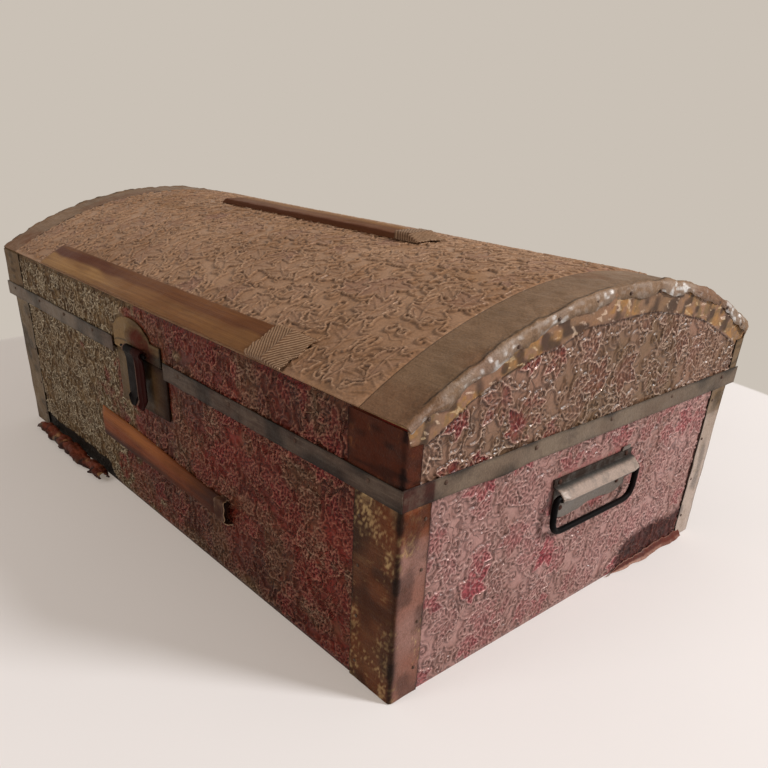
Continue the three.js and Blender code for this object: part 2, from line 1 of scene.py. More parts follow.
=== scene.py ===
"""Dome top trunk: the looks of a small pine trunk covered in embossed sheet tin.

Lengths in this script are millimetres, unless a name or a property says otherwise. MM turns them into metres.
"""

import math

import bpy
import numpy as np
from mathutils import Matrix, Vector


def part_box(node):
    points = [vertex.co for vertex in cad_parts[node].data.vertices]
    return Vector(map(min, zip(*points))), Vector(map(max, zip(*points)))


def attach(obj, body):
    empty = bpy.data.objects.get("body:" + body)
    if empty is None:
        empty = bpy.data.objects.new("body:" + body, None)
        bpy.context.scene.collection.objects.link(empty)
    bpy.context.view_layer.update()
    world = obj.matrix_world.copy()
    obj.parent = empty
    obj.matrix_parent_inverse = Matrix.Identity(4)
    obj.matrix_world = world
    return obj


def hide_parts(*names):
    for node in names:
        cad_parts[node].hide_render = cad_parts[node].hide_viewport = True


bl_info = {
    "name": "Dome top trunk",
    "version": (1, 0, 0),
    "blender": (4, 5, 0),
    "location": "3D View > Sidebar > Trunk",
    "description": "Dresses the packed dome top trunk with its tins, slats, lock, handles and finishes",
    "category": "Add Mesh",
}

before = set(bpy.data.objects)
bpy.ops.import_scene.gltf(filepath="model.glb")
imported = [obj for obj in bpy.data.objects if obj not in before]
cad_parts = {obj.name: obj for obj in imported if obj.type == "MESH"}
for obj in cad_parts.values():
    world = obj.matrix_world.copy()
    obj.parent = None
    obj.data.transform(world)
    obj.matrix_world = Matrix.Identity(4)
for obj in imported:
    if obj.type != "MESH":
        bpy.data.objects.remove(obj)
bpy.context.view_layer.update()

MM = 0.001


def corners(node):
    """Lowest and highest corner of a CAD node, in mm."""
    low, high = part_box(node)
    return np.array(low) / MM, np.array(high) / MM


# Sizes of the trunk, read from the frame
GAP = 0.3            # between a tin and the board or tin under it
TIN = 0.8
LAP = TIN + GAP
FOOT_DROP = 1.1      # how far the body's tins reach down over the boards' lower edges
BODY_LOW, BODY_HIGH = corners("body_front_tin")
HALF_L = BODY_HIGH[0]
HALF_D = -BODY_LOW[1]
LID_LOW, LID_HIGH = corners("lid_front_tin")
LID_HALF_L = LID_HIGH[0]
LID_HALF_D = -LID_LOW[1]
DOME_HIGH = corners("dome_tin")[1]
DOME_TIN_L = DOME_HIGH[0]
SPRING_Z = 232       # where the dome starts from the lid's long sides
DOME_TOP = DOME_HIGH[2]
RISE = DOME_TOP - SPRING_Z
DOME_R = (LID_HALF_D ** 2 + RISE ** 2) / (2 * RISE)
DOME_Z = DOME_TOP - DOME_R
DOME_TURN = math.asin(LID_HALF_D / DOME_R)
BAND_LOW, BAND_HIGH = corners("lid_band_right")


def stacked(x, y, z):
    """Points from their x, y and z, one in each row."""
    return np.stack(np.broadcast_arrays(x, y, z), axis=-1)


def on_side(side, along, height, out, half_l, half_d):
    """Places on an upright side, from left to right as seen from outside, at a height and a distance out."""
    sign = 1 if side in ("front", "right") else -1
    if side in ("front", "back"):
        return stacked(sign * along, -sign * (half_d + out), height)
    return stacked(sign * (half_l + out), sign * along, height)


def on_dome(x, angle, out):
    """Places on the dome, at an angle from its top towards +Y and a distance out."""
    r = DOME_R + out
    return stacked(x, r * np.sin(angle), DOME_Z + r * np.cos(angle))


def arch_height(y, inset):
    """Height of the dome over y, at a distance in from its outer face."""
    return DOME_Z + np.sqrt((DOME_R - inset) ** 2 - y ** 2)


# Settings that a user would change

def paint(red, green, blue):
    """A colour written as it shows on a screen, from 0 to 255, as linear values."""
    shown = np.array([red, green, blue]) / 255
    linear = np.where(shown <= 0.04045, shown / 12.92, ((shown + 0.055) / 1.055) ** 2.4)
    return (*linear, 1.0)


def colour_setting(name, description, rgb):
    return bpy.props.FloatVectorProperty(
        name=name, description=description, subtype="COLOR", size=4, min=0, max=1, default=paint(*rgb))


def length_setting(name, description, size):
    return bpy.props.FloatProperty(
        name=name, description=description, subtype="DISTANCE", unit="LENGTH", min=0, default=size * MM)


class TrunkSizes(bpy.types.PropertyGroup):
    relief: length_setting("Relief", "Height of the pressed pattern on the ends", 2.0)
    front_relief: length_setting("Front relief", "Height of the pressed pattern on the front", 1.9)
    dome_relief: length_setting("Dome relief", "Height of the pressed pattern on the dome", 2.1)
    leaf: length_setting("Leaf", "Length of a vine leaf's middle lobe on the ends", 25)
    flange: length_setting("Flange", "Depth of the dome strips' folded edge", 10)
    nail: length_setting("Nail", "Radius of a nail head", 1.9)


class TrunkColours(bpy.types.PropertyGroup):
    front: colour_setting("Front", "Paint of the front and back tins", (112, 34, 24))
    front_olive: colour_setting("Front, left part", "Faded paint of the front's left part", (116, 92, 62))
    end: colour_setting("Ends", "Paint of the body's end tins", (152, 112, 106))
    lid_end: colour_setting("Lid's ends", "Paint of the lid's end tins", (121, 87, 70))
    dome: colour_setting("Dome", "Paint of the dome tin", (154, 118, 90))
    leaf_red: colour_setting("Leaf red", "Paint left on the pressed leaves", (136, 30, 34))
    plain: colour_setting("Plain tin", "Strips over the dome's ends", (120, 92, 68))
    slat: colour_setting("Slats", "Worn varnish", (116, 72, 36))
    pine: colour_setting("Pine", "Bare boards inside", (178, 142, 96))
    steel: colour_setting("Steel", "Band and hinges", (80, 64, 52))
    black: colour_setting("Black steel", "Hasp and handles", (8, 8, 9))
    floor: colour_setting("Floor", "Pale floor", (239, 236, 238))
    wall: colour_setting("Backdrop", "Pale wall behind", (202, 193, 182))


def sizes():
    return bpy.context.scene.trunk_sizes


def colours():
    return bpy.context.scene.trunk_colours


# Soft random values, the same on each run

TABLE = 64           # how many random values there are each way before they repeat
TABLE_START = 1000   # keeps places left of or below 0 inside the table


def blended(read, x, y, ease=lambda share: share):
    """Values at places in cells, blended between the four cells round each. read(col, row) gives one."""
    col = np.floor(x).astype(int)
    row = np.floor(y).astype(int)
    fx = ease(x - col)
    fy = ease(y - row)
    low = read(col, row) * (1 - fx) + read(col + 1, row) * fx
    high = read(col, row + 1) * (1 - fx) + read(col + 1, row + 1) * fx
    return low * (1 - fy) + high * fy


def eased(share):
    return share * share * (3 - 2 * share)


def soft_noise(x, y, size, seed):
    """Smooth values from 0 to 1 over places in mm, with patches about size mm across."""
    table = np.random.default_rng(seed).random((TABLE, TABLE))
    return blended(lambda col, row: table[col % TABLE, row % TABLE], np.asarray(x) / size + TABLE_START,
                   np.asarray(y) / size + TABLE_START, eased)


def rise(value, start, end):
    """Goes smoothly from 0 at start to 1 at end."""
    return eased(np.clip((np.asarray(value, float) - start) / (end - start), 0, 1))


def fall(value, start, end):
    """Goes smoothly from 1 at start to 0 at end."""
    return rise(-value, -end, -start)


def wobble(x, y, size, seed):
    """Soft noise from -0.5 to 0.5."""
    return soft_noise(x, y, size, seed) - 0.5


def patchy(x, y, size, seed, start, end):
    """Patches of 1 on 0, where soft noise goes from start to end."""
    return rise(soft_noise(x, y, size, seed), start, end)


# The pressed vine pattern, drawn as heights from 0 to 1 on a fine board of cells

CELL = 0.6           # mm
LOBES = ((0.0, 1.0), (0.95, 0.86), (-0.95, 0.86), (1.95, 0.64), (-1.95, 0.64))  # turn and length of each
TEETH = 20           # round a leaf
LEAF_REACH = 1.12    # how far a leaf's teeth reach, in its lengths, and a curl's tail, in its own
CURL_REACH = 2.3
CURL_STEP = 0.62     # how far apart curls and leaves are, in leaf lengths
LEAF_STEP = 1.5
EVEN_OUT = 3         # cells each way that a groove is lower than
GROOVE = 3.2         # how fast a groove darkens with its depth, as dirt and painted shade


def angle_between(angle, way):
    return (angle - way + math.pi) % (2 * math.pi) - math.pi


def leaf_edge(angle):
    """How far a vine leaf's toothed edge is from its stalk, for a middle lobe of length 1."""
    edge = np.zeros_like(angle)
    for way, length in LOBES:
        off = np.abs(angle_between(angle, way))
        edge = np.maximum(edge, length * (0.40 + 0.60 * np.exp(-(off / 0.40) ** 1.5)))
    teeth = np.abs((angle * (TEETH / 2) / math.pi) % 1 - 0.5) * 2
    return edge * (0.95 + 0.09 * teeth)


def cells_near(shape, x, y, reach):
    """The cells of a board within reach mm of a place, and their offsets from it."""
    first_col = max(0, int((x - reach) / CELL))
    first_row = max(0, int((y - reach) / CELL))
    last_col = max(first_col, min(shape[1], int((x + reach) / CELL) + 1))
    last_row = max(first_row, min(shape[0], int((y + reach) / CELL) + 1))
    dx = np.arange(first_col, last_col) * CELL - x
    dy = np.arange(first_row, last_row) * CELL - y
    dx, dy = np.meshgrid(dx, dy)
    return (slice(first_row, last_row), slice(first_col, last_col)), dx, dy


def ridge(distance, width):
    return np.exp(-(distance / width) ** 2)


def draw_leaf(board, coat, x, y, size, turn, line, amount, veined, raised):
    """Draws one leaf over what is there, and lays paint on it."""
    part, dx, dy = cells_near(board.shape, x, y, size * LEAF_REACH)
    if not dx.size:
        return
    far = np.hypot(dx, dy)
    angle = angle_between(np.arctan2(dy, dx), turn)
    edge = size * leaf_edge(angle)
    lean = size * (leaf_edge(angle + 0.02) - leaf_edge(angle - 0.02)) / 0.04
    off = (far - edge) / np.sqrt(1 + (lean / np.maximum(edge, 1)) ** 2)
    height = raised * rise(-off, 0.4, 2.4)
    height = np.maximum(height, ridge(off + line * 0.6, line))
    nearest = np.full_like(far, 9.0)
    side_veins = np.zeros_like(far)
    for way, length in LOBES:
        lobe_off = angle_between(angle, way)
        along = far * np.cos(lobe_off)
        across = far * np.sin(lobe_off) - 0.05 * along * np.sin(along / size * 3)
        taper = np.clip(1.15 - along / (size * length), 0, 1) * (along > 0)
        height = np.maximum(height, 0.85 * ridge(across, line * 0.85) * taper ** 0.5)
        step = (along - 1.1 * np.abs(across)) / (size * 0.21)
        vein = ridge((step - np.round(step)) * size * 0.15, line * 0.8)
        mine = np.abs(lobe_off) < nearest
        nearest = np.minimum(nearest, np.abs(lobe_off))
        side_veins = np.where(mine, vein * (along > size * 0.15), side_veins)
    height = np.maximum(height, veined * side_veins * rise(-off, 0.8, 2.2))
    cover = rise(-off, -1.3, -0.2)
    board[part] = board[part] * (1 - cover) + height * cover
    coat[part] = coat[part] * (1 - cover) + amount * rise(-off, -0.4, 0.6) * cover


def draw_curl(board, x, y, size, turn, hand, line, turns):
    """Draws a curled tendril: a spiral with a tail."""
    part, dx, dy = cells_near(board.shape, x, y, size * CURL_REACH)
    if not dx.size:
        return
    far = np.hypot(dx, dy)
    angle = (hand * np.arctan2(dy, dx) + turn) % (2 * math.pi) / (2 * math.pi)
    pitch = size / turns
    winding = far / pitch - angle
    spiral = np.abs(winding - np.round(winding)) * pitch
    height = ridge(spiral, line) * rise(-far, -size, -size + 1.5)
    tail_x = dx - 1.9 * size * math.cos(turn)
    tail_y = dy - 1.9 * size * math.sin(turn)
    tail = np.abs(np.hypot(tail_x, tail_y) - size * 1.5)
    swing = angle_between(np.arctan2(tail_y, tail_x), turn + math.pi - 0.9 * hand)
    height = np.maximum(height, ridge(tail, line) * rise(-np.abs(swing), -1.2, -0.8))
    board[part] = np.maximum(board[part], 0.82 * height)


def jittered(rng, width, height, step):
    """Places about step mm apart all over a board, in random order."""
    xs, ys = np.meshgrid(np.arange(-step / 2, width + step, step),
                         np.arange(-step / 2, height + step, step * 0.87))
    xs = xs + (np.arange(xs.shape[0]) % 2)[:, None] * step / 2
    spots = np.stack([xs.ravel(), ys.ravel()], axis=1)
    spots = spots + (rng.random(spots.shape) - 0.5) * step * 0.55
    return spots[rng.permutation(len(spots))]


def evened(board, cells):
    """A board evened out over this many cells each way."""
    for axis in (0, 1):
        room = [(0, 0), (0, 0)]
        room[axis] = (cells + 1, cells)
        total = np.cumsum(np.pad(board, room, mode="edge"), axis=axis)
        last = total.shape[axis]
        span = 2 * cells + 1
        board = (np.take(total, range(span, last), axis) - np.take(total, range(last - span), axis)) / span
    return board


def vine_board(width, height, leaf, line, seed, amount_at, veined=0.8, raised=0.16, turns=1.6):
    """Heights, leaf paint and grooves of a pressed sheet. amount_at(x, y, chance) says how red a leaf is."""
    rng = np.random.default_rng(seed)
    board = np.zeros((int(height / CELL) + 3, int(width / CELL) + 3))
    coat = np.zeros_like(board)
    for x, y in jittered(rng, width, height, leaf * CURL_STEP):
        hand = 1 if rng.random() < 0.5 else -1
        size = leaf * (0.20 + 0.10 * rng.random())
        draw_curl(board, x, y, size, rng.random() * 2 * math.pi, hand, line, turns)
    for x, y in jittered(rng, width, height, leaf * LEAF_STEP):
        size = leaf * (0.72 + 0.4 * rng.random())
        amount = amount_at(x, y, rng.random())
        draw_leaf(board, coat, x, y, size, rng.random() * 2 * math.pi, line, amount, veined, raised)
    # grooves: how far each cell lies below its neighbours, which the paint darkens as dirt and painted shade
    grooves = np.clip((evened(board, EVEN_OUT) - board) * GROOVE, 0, 1)
    return board, coat, grooves


def read_board(board, x, y):
    """Values of a board at places in mm, blended between its cells."""
    return blended(lambda col, row: board[row, col], np.clip(x / CELL, 0, board.shape[1] - 1.001),
                   np.clip(y / CELL, 0, board.shape[0] - 1.001))


# Mesh work

MERGE = 1e-6         # metres within which points are one
ROUND_POINTS = 7     # along each rounded corner of a path
ROUND_MOST = 0.49    # the most that a rounded corner takes of the straight length beside it
LOOK_ROUND = 0.4     # mm to each side from which a path's direction is read


def deselect():
    for piece in bpy.context.selected_objects:
        piece.select_set(False)


def pick(*pieces):
    """Makes these pieces the only ones selected, with the first one active."""
    deselect()
    for piece in pieces:
        piece.select_set(True)
    bpy.context.view_layer.objects.active = pieces[0]


def put_points(piece, points):
    piece.data.vertices.foreach_set("co", (points * MM).astype(np.float32).ravel())
    piece.data.update()


def points_of(piece):
    flat = np.zeros(len(piece.data.vertices) * 3, np.float32)
    piece.data.vertices.foreach_get("co", flat)
    return flat.reshape(-1, 3).astype(float) / MM


def mark(piece, **marks):
    """Stores values at the vertices, such as how bare or rusty they are, for the materials to read."""
    for name, values in marks.items():
        values = np.broadcast_to(values, len(piece.data.vertices)).astype(np.float32)
        piece.data.attributes.new(name, "FLOAT", "POINT").data.foreach_set("value", values)


def marked(piece, name):
    values = np.zeros(len(piece.data.vertices), np.float32)
    piece.data.attributes[name].data.foreach_get("value", values)
    return values


def shaped_grid(name, rows, cols, shape):
    """A grid whose vertices lie at u and v from 0 to 1 and are put where shape(u, v) says. It gives their
    places in mm and the values to mark them with."""
    deselect()
    bpy.ops.mesh.primitive_grid_add(x_subdivisions=cols, y_subdivisions=rows, size=1)
    piece = bpy.context.object
    piece.name = piece.data.name = name
    u, v = np.meshgrid(np.linspace(0, 1, cols + 1), np.linspace(0, 1, rows + 1))
    points, marks = shape(u.ravel(), v.ravel())
    put_points(piece, points)
    mark(piece, **marks)
    return piece


def edit(piece, action="SELECT"):
    """Starts edit mode on a piece, with all of it selected or, for DESELECT, none of it."""
    pick(piece)
    bpy.ops.object.mode_set(mode="EDIT")
    bpy.ops.mesh.select_all(action=action)


def leave_edit():
    bpy.ops.object.mode_set(mode="OBJECT")


def edit_parts(piece, kind, mask):
    """Starts edit mode with only these vertices or edges selected."""
    edit(piece, "DESELECT")
    bpy.ops.mesh.select_mode(type=kind)
    leave_edit()
    parts = piece.data.vertices if kind == "VERT" else piece.data.edges
    parts.foreach_set("select", mask)
    bpy.ops.object.mode_set(mode="EDIT")


def finish_with(piece, kind, **settings):
    """Adds a modifier and applies it."""
    pick(piece)
    modifier = piece.modifiers.new(kind.title(), kind)
    for key, value in settings.items():
        setattr(modifier, key, value)
    bpy.ops.object.modifier_apply(modifier=modifier.name)


def smooth(piece, degrees=40):
    pick(piece)
    bpy.ops.object.shade_smooth_by_angle(angle=math.radians(degrees))


def close_sheet(piece, backs):
    """Gives a fine grid a rim and a plain back. Its mark "across" is each vertex's place from 0 to 1 along
    the way that the back spans in one cell, and backs gives the back's points for the rim's points."""
    front_count = len(piece.data.vertices)
    edit(piece, "DESELECT")
    bpy.ops.mesh.select_mode(type="EDGE")
    bpy.ops.mesh.select_non_manifold(extend=False, use_wire=False, use_boundary=True, use_multi_face=False,
                                     use_non_contiguous=False, use_verts=False)
    bpy.ops.mesh.extrude_edges_move(TRANSFORM_OT_translate={"value": (0, 0, 0)})
    leave_edit()
    points = points_of(piece)
    points[front_count:] = backs(points[front_count:])
    put_points(piece, points)
    place = marked(piece, "across")
    is_back = np.arange(len(place)) >= front_count
    edit_parts(piece, "VERT", is_back & (place > 1e-4) & (place < 1 - 1e-4))
    bpy.ops.mesh.dissolve_verts()
    leave_edit()
    place = marked(piece, "across")
    edges = np.zeros(len(piece.data.edges) * 2, np.int32)
    piece.data.edges.foreach_get("vertices", edges)
    edges = edges.reshape(-1, 2)
    rim = (edges >= front_count).all(axis=1) & (np.abs(place[edges[:, 0]] - place[edges[:, 1]]) < 0.5)
    edit_parts(piece, "EDGE", rim)
    bpy.ops.mesh.bridge_edge_loops()
    leave_edit()
    piece.data.attributes.remove(piece.data.attributes["across"])
    smooth(piece, 75)


def bent_sheet(name, rows, cols, shape, thick):
    """A sheet whose outer face is shape(u, v), with its thickness behind. u runs to the right and v up."""
    piece = shaped_grid(name, rows, cols, shape)
    finish_with(piece, "SOLIDIFY", thickness=thick * MM, offset=-1)
    smooth(piece)
    return piece


def tube(name, rows, cols, shape, ring=False):
    """A solid whose skin is shape(u, v). u goes round it, and v along it, or round the ring."""
    piece = shaped_grid(name, rows, cols, shape)
    edit(piece)
    bpy.ops.mesh.remove_doubles(threshold=MERGE)
    if not ring:
        bpy.ops.mesh.fill_holes(sides=0)
    bpy.ops.mesh.select_all(action="SELECT")
    bpy.ops.mesh.normals_make_consistent(inside=False)
    leave_edit()
    smooth(piece)
    return piece


def eased_copy(name, node, ease):
    """A copy of a CAD node with its edges eased."""
    deselect()
    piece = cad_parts[node].copy()
    piece.data = piece.data.copy()
    piece.name = piece.data.name = name
    piece.parent = None
    for key in list(piece.keys()):
        del piece[key]
    piece.data.materials.clear()
    bpy.context.scene.collection.objects.link(piece)
    edit(piece)
    bpy.ops.mesh.remove_doubles(threshold=MERGE)
    bpy.ops.mesh.dissolve_limited(angle_limit=math.radians(1))
    leave_edit()
    finish_with(piece, "BEVEL", width=ease * MM, segments=2, limit_method="ANGLE",
                angle_limit=math.radians(35), harden_normals=False)
    smooth(piece)
    return piece


def lengths_along(path):
    return np.concatenate([[0], np.cumsum(np.linalg.norm(np.diff(path, axis=0), axis=1))])


def read_path(path, length, places):
    return np.stack([np.interp(places, length, path[:, k]) for k in range(path.shape[1])], axis=-1)


def rounded_path(points, radius, step=0.8):
    """A line through points with rounded corners, all alike or each by its own radius, as a row of points."""
    points = np.array(points, float)
    path = [points[0]]
    radii = np.broadcast_to(radius, len(points) - 2)
    for before, corner, after, widest in zip(points[:-2], points[1:-1], points[2:], radii):
        way_in = corner - before
        way_out = after - corner
        room = min(widest, np.linalg.norm(way_in) * ROUND_MOST, np.linalg.norm(way_out) * ROUND_MOST)
        start = corner - way_in / np.linalg.norm(way_in) * room
        end = corner + way_out / np.linalg.norm(way_out) * room
        for t in np.linspace(0, 1, ROUND_POINTS):
            path.append((1 - t) ** 2 * start + 2 * t * (1 - t) * corner + t ** 2 * end)
    path.append(points[-1])
    path = np.array(path)
    length = lengths_along(path)
    return read_path(path, length, np.linspace(0, length[-1], max(2, int(length[-1] / step))))


def follow(path, t):
    """Where shares t of a path's length are and the direction along it there, each as its x and its y."""
    length = lengths_along(path)
    where = np.asarray(t) * length[-1]
    ahead = read_path(path, length, np.minimum(where + LOOK_ROUND, length[-1]))
    way = ahead - read_path(path, length, np.maximum(where - LOOK_ROUND, 0))
    way = way / np.linalg.norm(way, axis=-1, keepdims=True)
    return read_path(path, length, where).T, way.T


def dress(piece, material, body, slot, *nodes):
    """Gives a finished piece its material, body, slot and the CAD nodes that it stands for."""
    piece.data.materials.clear()
    piece.data.materials.append(finish(material))
    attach(piece, body)
    if nodes:
        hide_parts(*nodes)


# Node trees

class Signal:
    """An output of a node. Sums and products of signals add the nodes that work them out."""

    def __init__(self, socket):
        self.socket = socket

    def __add__(self, other):
        return calc("ADD", self, other)

    def __sub__(self, other):
        return calc("SUBTRACT", self, other)

    def __rsub__(self, other):
        return calc("SUBTRACT", other, self)

    def __mul__(self, other):
        return calc("MULTIPLY", self, other)


def add_node(tree, kind, inputs=None, **properties):
    node = tree.nodes.new(kind)
    for key, value in properties.items():
        setattr(node, key, value)
    for key, value in (inputs or {}).items():
        if isinstance(value, Signal):
            tree.links.new(value.socket, node.inputs[key])
        else:
            node.inputs[key].default_value = value
    return node


def result(kind, inputs, output=0, **properties):
    """The output of a new node, in the tree that its first signal is in."""
    tree = next(value.socket.id_data for value in inputs.values() if isinstance(value, Signal))
    return Signal(add_node(tree, kind, inputs, **properties).outputs[output])


def calc(operation, first, second):
    return result("ShaderNodeMath", {0: first, 1: second}, operation=operation)


def larger(first, second):
    return calc("MAXIMUM", first, second)


def mix(share, first, second, way="MIX"):
    return result("ShaderNodeMix", {0: share, 6: first, 7: second}, 2, data_type="RGBA", blend_type=way)


def spread(value, start, end, low=0.0, high=1.0):
    """Maps start..end to low..high and stops there."""
    inputs = {"Value": value, "From Min": start, "From Max": end, "To Min": low, "To Max": high}
    return result("ShaderNodeMapRange", inputs, clamp=True)


def noise(where, scale, detail=3.0, roughness=0.55):
    inputs = {"Vector": where, "Scale": scale, "Detail": detail, "Roughness": roughness}
    return result("ShaderNodeTexNoise", inputs)


def stretched(where, scale, turn=(0.0, 0.0, 0.0)):
    return result("ShaderNodeMapping", {"Vector": where, "Scale": scale, "Rotation": turn})


def read_marks(tree, *names):
    nodes = (add_node(tree, "ShaderNodeAttribute", attribute_name=name) for name in names)
    return [Signal(node.outputs["Fac"]) for node in nodes]


def object_places(tree):
    return Signal(add_node(tree, "ShaderNodeTexCoord").outputs["Object"])


# Kinds of surface. Each is a group of nodes, and build(tree, given) returns what the group puts out

def worm_lines(where, scale, width):
    """Fine wandering lines where a noise crosses its middle, from 1 on a line to 0 at this width from it."""
    inputs = {"Vector": where, "Scale": scale, "Detail": 1.0, "Roughness": 0.4, "Distortion": 0.8}
    off = calc("ABSOLUTE", result("ShaderNodeTexNoise", inputs) - 0.5, 0.0)
    return spread(off, 0.0, width, 1.0, 0.0)


TORN_BLACK = (0.012, 0.008, 0.006, 1.0)      # what shows where the tin is torn away


def build_pressed_paint(tree, given):
    """Paint on pressed tin: leaf paint, dirt beside the ridges, worn ridges, fine curls and rust."""
    where = object_places(tree)
    relief, coat, rust, bare, smooth_part, shade_and_dirt = read_marks(
        tree, "relief", "leaf_paint", "rust", "bare", "smooth_part", "crease")
    broad = noise(where, 11.0)
    patches = noise(where, 26.0, 3.0, 0.6)
    middle = noise(where, 80.0, 4.0, 0.6)
    fine = noise(where, 520.0, 4.0, 0.6)
    lines = worm_lines(where, given["Curl Scale"], given["Curl Width"])
    curls = lines * spread(patches, 0.42, 0.55) * ((1.0 - smooth_part) * given["Curl Amount"])
    ground = mix(spread(broad, 0.36, 0.62), given["Ground"], given["Ground 2"])
    ground = mix(spread(middle, 0.42, 0.66, 0.0, 0.4), ground, given["Dust"])
    leaf = mix(spread(middle, 0.35, 0.65, 0.0, 0.5), given["Leaf"], given["Crease"])
    colour = mix(coat * spread(middle + patches, 0.85, 1.15), ground, leaf)
    rusted = spread(rust + middle * 0.5, 0.45, 0.85) * spread(rust, 0.02, 0.25)
    colour = mix(rusted, colour, mix(spread(middle, 0.38, 0.62), given["Rust"], given["Rust 2"]))
    # beside: a painted shadow along both sides of each fine curl
    beside = spread(curls, 0.05, 0.35) * spread(curls, 0.3, 0.6, 1.0, 0.0)
    # The grooves and the curls' sides take the groove colour: dirt, and painted shade.
    colour = mix(larger(shade_and_dirt, beside * 0.8) * given["Crease Amount"], colour, given["Crease"])
    # The pale worn colour on ridges and curl crests is worn paint and also painted highlights.
    worn = larger(spread(relief, 0.5, 0.92), spread(curls, 0.6, 0.95, 0.0, 0.8))
    worn = worn * spread(fine + patches, 0.75, 1.2, 0.1, 1.0)
    worn = worn * larger(given["Worn Amount"], rusted * given["Worn 2 Amount"])
    colour = mix(worn, colour, mix(rusted, given["Worn"], given["Worn 2"]))
    colour = mix(bare, colour, TORN_BLACK)
    colour = mix(1.0, colour, spread(fine, 0.25, 0.75, 0.74, 1.22), "MULTIPLY")
    gloss = spread(middle, 0.3, 0.7, 0.26, 0.5) + rusted * 0.2 + given["Dullness"]
    pebbles = result("ShaderNodeTexVoronoi", {"Vector": where, "Scale": 420.0}, "Distance")
    height = pebbles * 0.03 + fine * given["Roughness Height"] + curls * given["Curl Height"]
    return {"Color": colour, "Roughness": gloss, "Metallic": worn * 0.35, "Height": height}


def build_tarnish(tree, given):
    """Browned sheet metal: stains, streaks, scratches, bare folds and rust."""
    where = given["Places"]
    bare, rust, flakes, shade_and_dirt = read_marks(tree, "bare", "rust", "flakes", "crease")
    broad = noise(where, 14.0, 4.0, 0.6)
    middle = noise(where, 90.0, 4.0, 0.65)
    fine = noise(where, 620.0)
    streaks = noise(stretched(where, (30.0, 400.0, 400.0)), 1.0)
    scratch = noise(stretched(where, (90.0, 900.0, 240.0), (0.5, 0.3, 0.9)), 1.0, 2.0)
    colour = mix(spread(broad, 0.35, 0.65), given["Base"], given["Stain"])
    colour = mix(spread(middle, 0.5, 0.72, 0.0, 0.6), colour, given["Stain"])
    colour = mix(spread(streaks, 0.45, 0.75) * given["Streaks"], colour, given["Bright"])
    scratched = spread(scratch, 0.60, 0.68) * given["Scratches"] * spread(middle, 0.48, 0.58)
    colour = mix(scratched, colour, given["Bright"])
    shine = bare * spread(middle, 0.3, 0.5, 0.45, 1.0)
    colour = mix(shine, colour, given["Bare"])
    colour = mix(flakes, colour, given["Bright"])
    rusted = spread(rust, 0.05, 0.6) * spread(middle, 0.3, 0.55, 0.5, 1.0)
    colour = mix(rusted, colour, given["Rust"])
    colour = mix(1.0, colour, spread(fine, 0.25, 0.75, 0.8, 1.16), "MULTIPLY")
    # Darker where the sheet is marked so: dirt, and painted shade along edges, folds and gaps
    colour = mix(1.0, colour, spread(shade_and_dirt, 0.0, 1.0, 1.0, 0.14), "MULTIPLY")
    gloss = spread(middle, 0.3, 0.7, 0.38, 0.6) + shine * -0.14 + rusted * 0.2
    metal = larger(given["Metal"], shine * given["Bare Metal"]) * spread(rusted, 0.0, 1.0, 1.0, 0.2)
    height = middle * 1.2 + fine * 0.5 - scratched * 0.4
    return {"Color": colour, "Roughness": gloss, "Metallic": metal, "Height": height}


def build_wood_grain(tree, given):
    """Wood grain along the first axis of its places, with pores, darker streaks and wear."""
    where = given["Places"]
    bare, stain = read_marks(tree, "bare", "stain")
    waver = noise(stretched(where, (3.0, 16.0, 16.0)), 1.0, 2.0)
    rings = result("ShaderNodeTexWave", {
        "Vector": stretched(where, (1.5, 60.0, 60.0)), "Scale": 1.0, "Distortion": 5.0, "Detail": 3.0,
        "Detail Scale": 1.2}, "Fac", wave_type="BANDS", bands_direction="Y")
    fibres = noise(stretched(where, (14.0, 700.0, 700.0)), 1.0, 4.0, 0.6)
    pores = noise(stretched(where, (40.0, 1400.0, 1400.0)), 1.0, 2.0)
    streak = noise(stretched(where, (4.0, 60.0, 60.0)), 1.0)
    broad = noise(where, 9.0)
    share = rings * 0.18 + fibres * 0.75
    colour = mix(spread(share, 0.3, 0.75), given["Light"], given["Dark"])
    colour = mix(spread(waver, 0.45, 0.7, 0.0, 0.6), colour, given["Dark"])
    colour = mix(spread(pores, 0.62, 0.72, 0.0, 0.55), colour, given["Pores"])
    colour = mix(spread(broad * 0.5 + streak * 0.5, 0.46, 0.6, 0.0, 0.6), colour, given["Grime"])
    colour = mix(bare * spread(share, 0.35, 0.75, 1.0, 0.5), colour, given["Worn"])
    colour = mix(stain * spread(streak, 0.3, 0.6, 0.55, 1.0), colour, given["Stain"])
    gloss = spread(broad, 0.3, 0.7, 0.45, 0.68)
    return {"Color": colour, "Roughness": gloss, "Height": fibres + pores * -0.6}


# What builds each kind of surface, its colours, and its other values with their defaults
SURFACES = {
    "Pressed paint": (
        build_pressed_paint,
        ("Ground", "Ground 2", "Dust", "Leaf", "Crease", "Worn", "Rust", "Rust 2", "Worn 2"),
        {"Worn 2 Amount": 0.5, "Crease Amount": 0.7, "Worn Amount": 0.7, "Dullness": 0.0, "Curl Scale": 150.0,
         "Curl Amount": 1.0, "Curl Height": 0.7, "Curl Width": 0.07, "Roughness Height": 0.08}),
    "Tarnish": (
        build_tarnish, ("Base", "Stain", "Bright", "Bare", "Rust"),
        {"Scratches": 0.5, "Metal": 0.1, "Bare Metal": 0.3, "Streaks": 0.35}),
    "Wood grain": (build_wood_grain, ("Light", "Dark", "Pores", "Grime", "Worn", "Stain"), {}),
}
PINE = ((142, 102, 62), (96, 66, 40), (134, 104, 72), (178, 142, 96), (90, 60, 36))
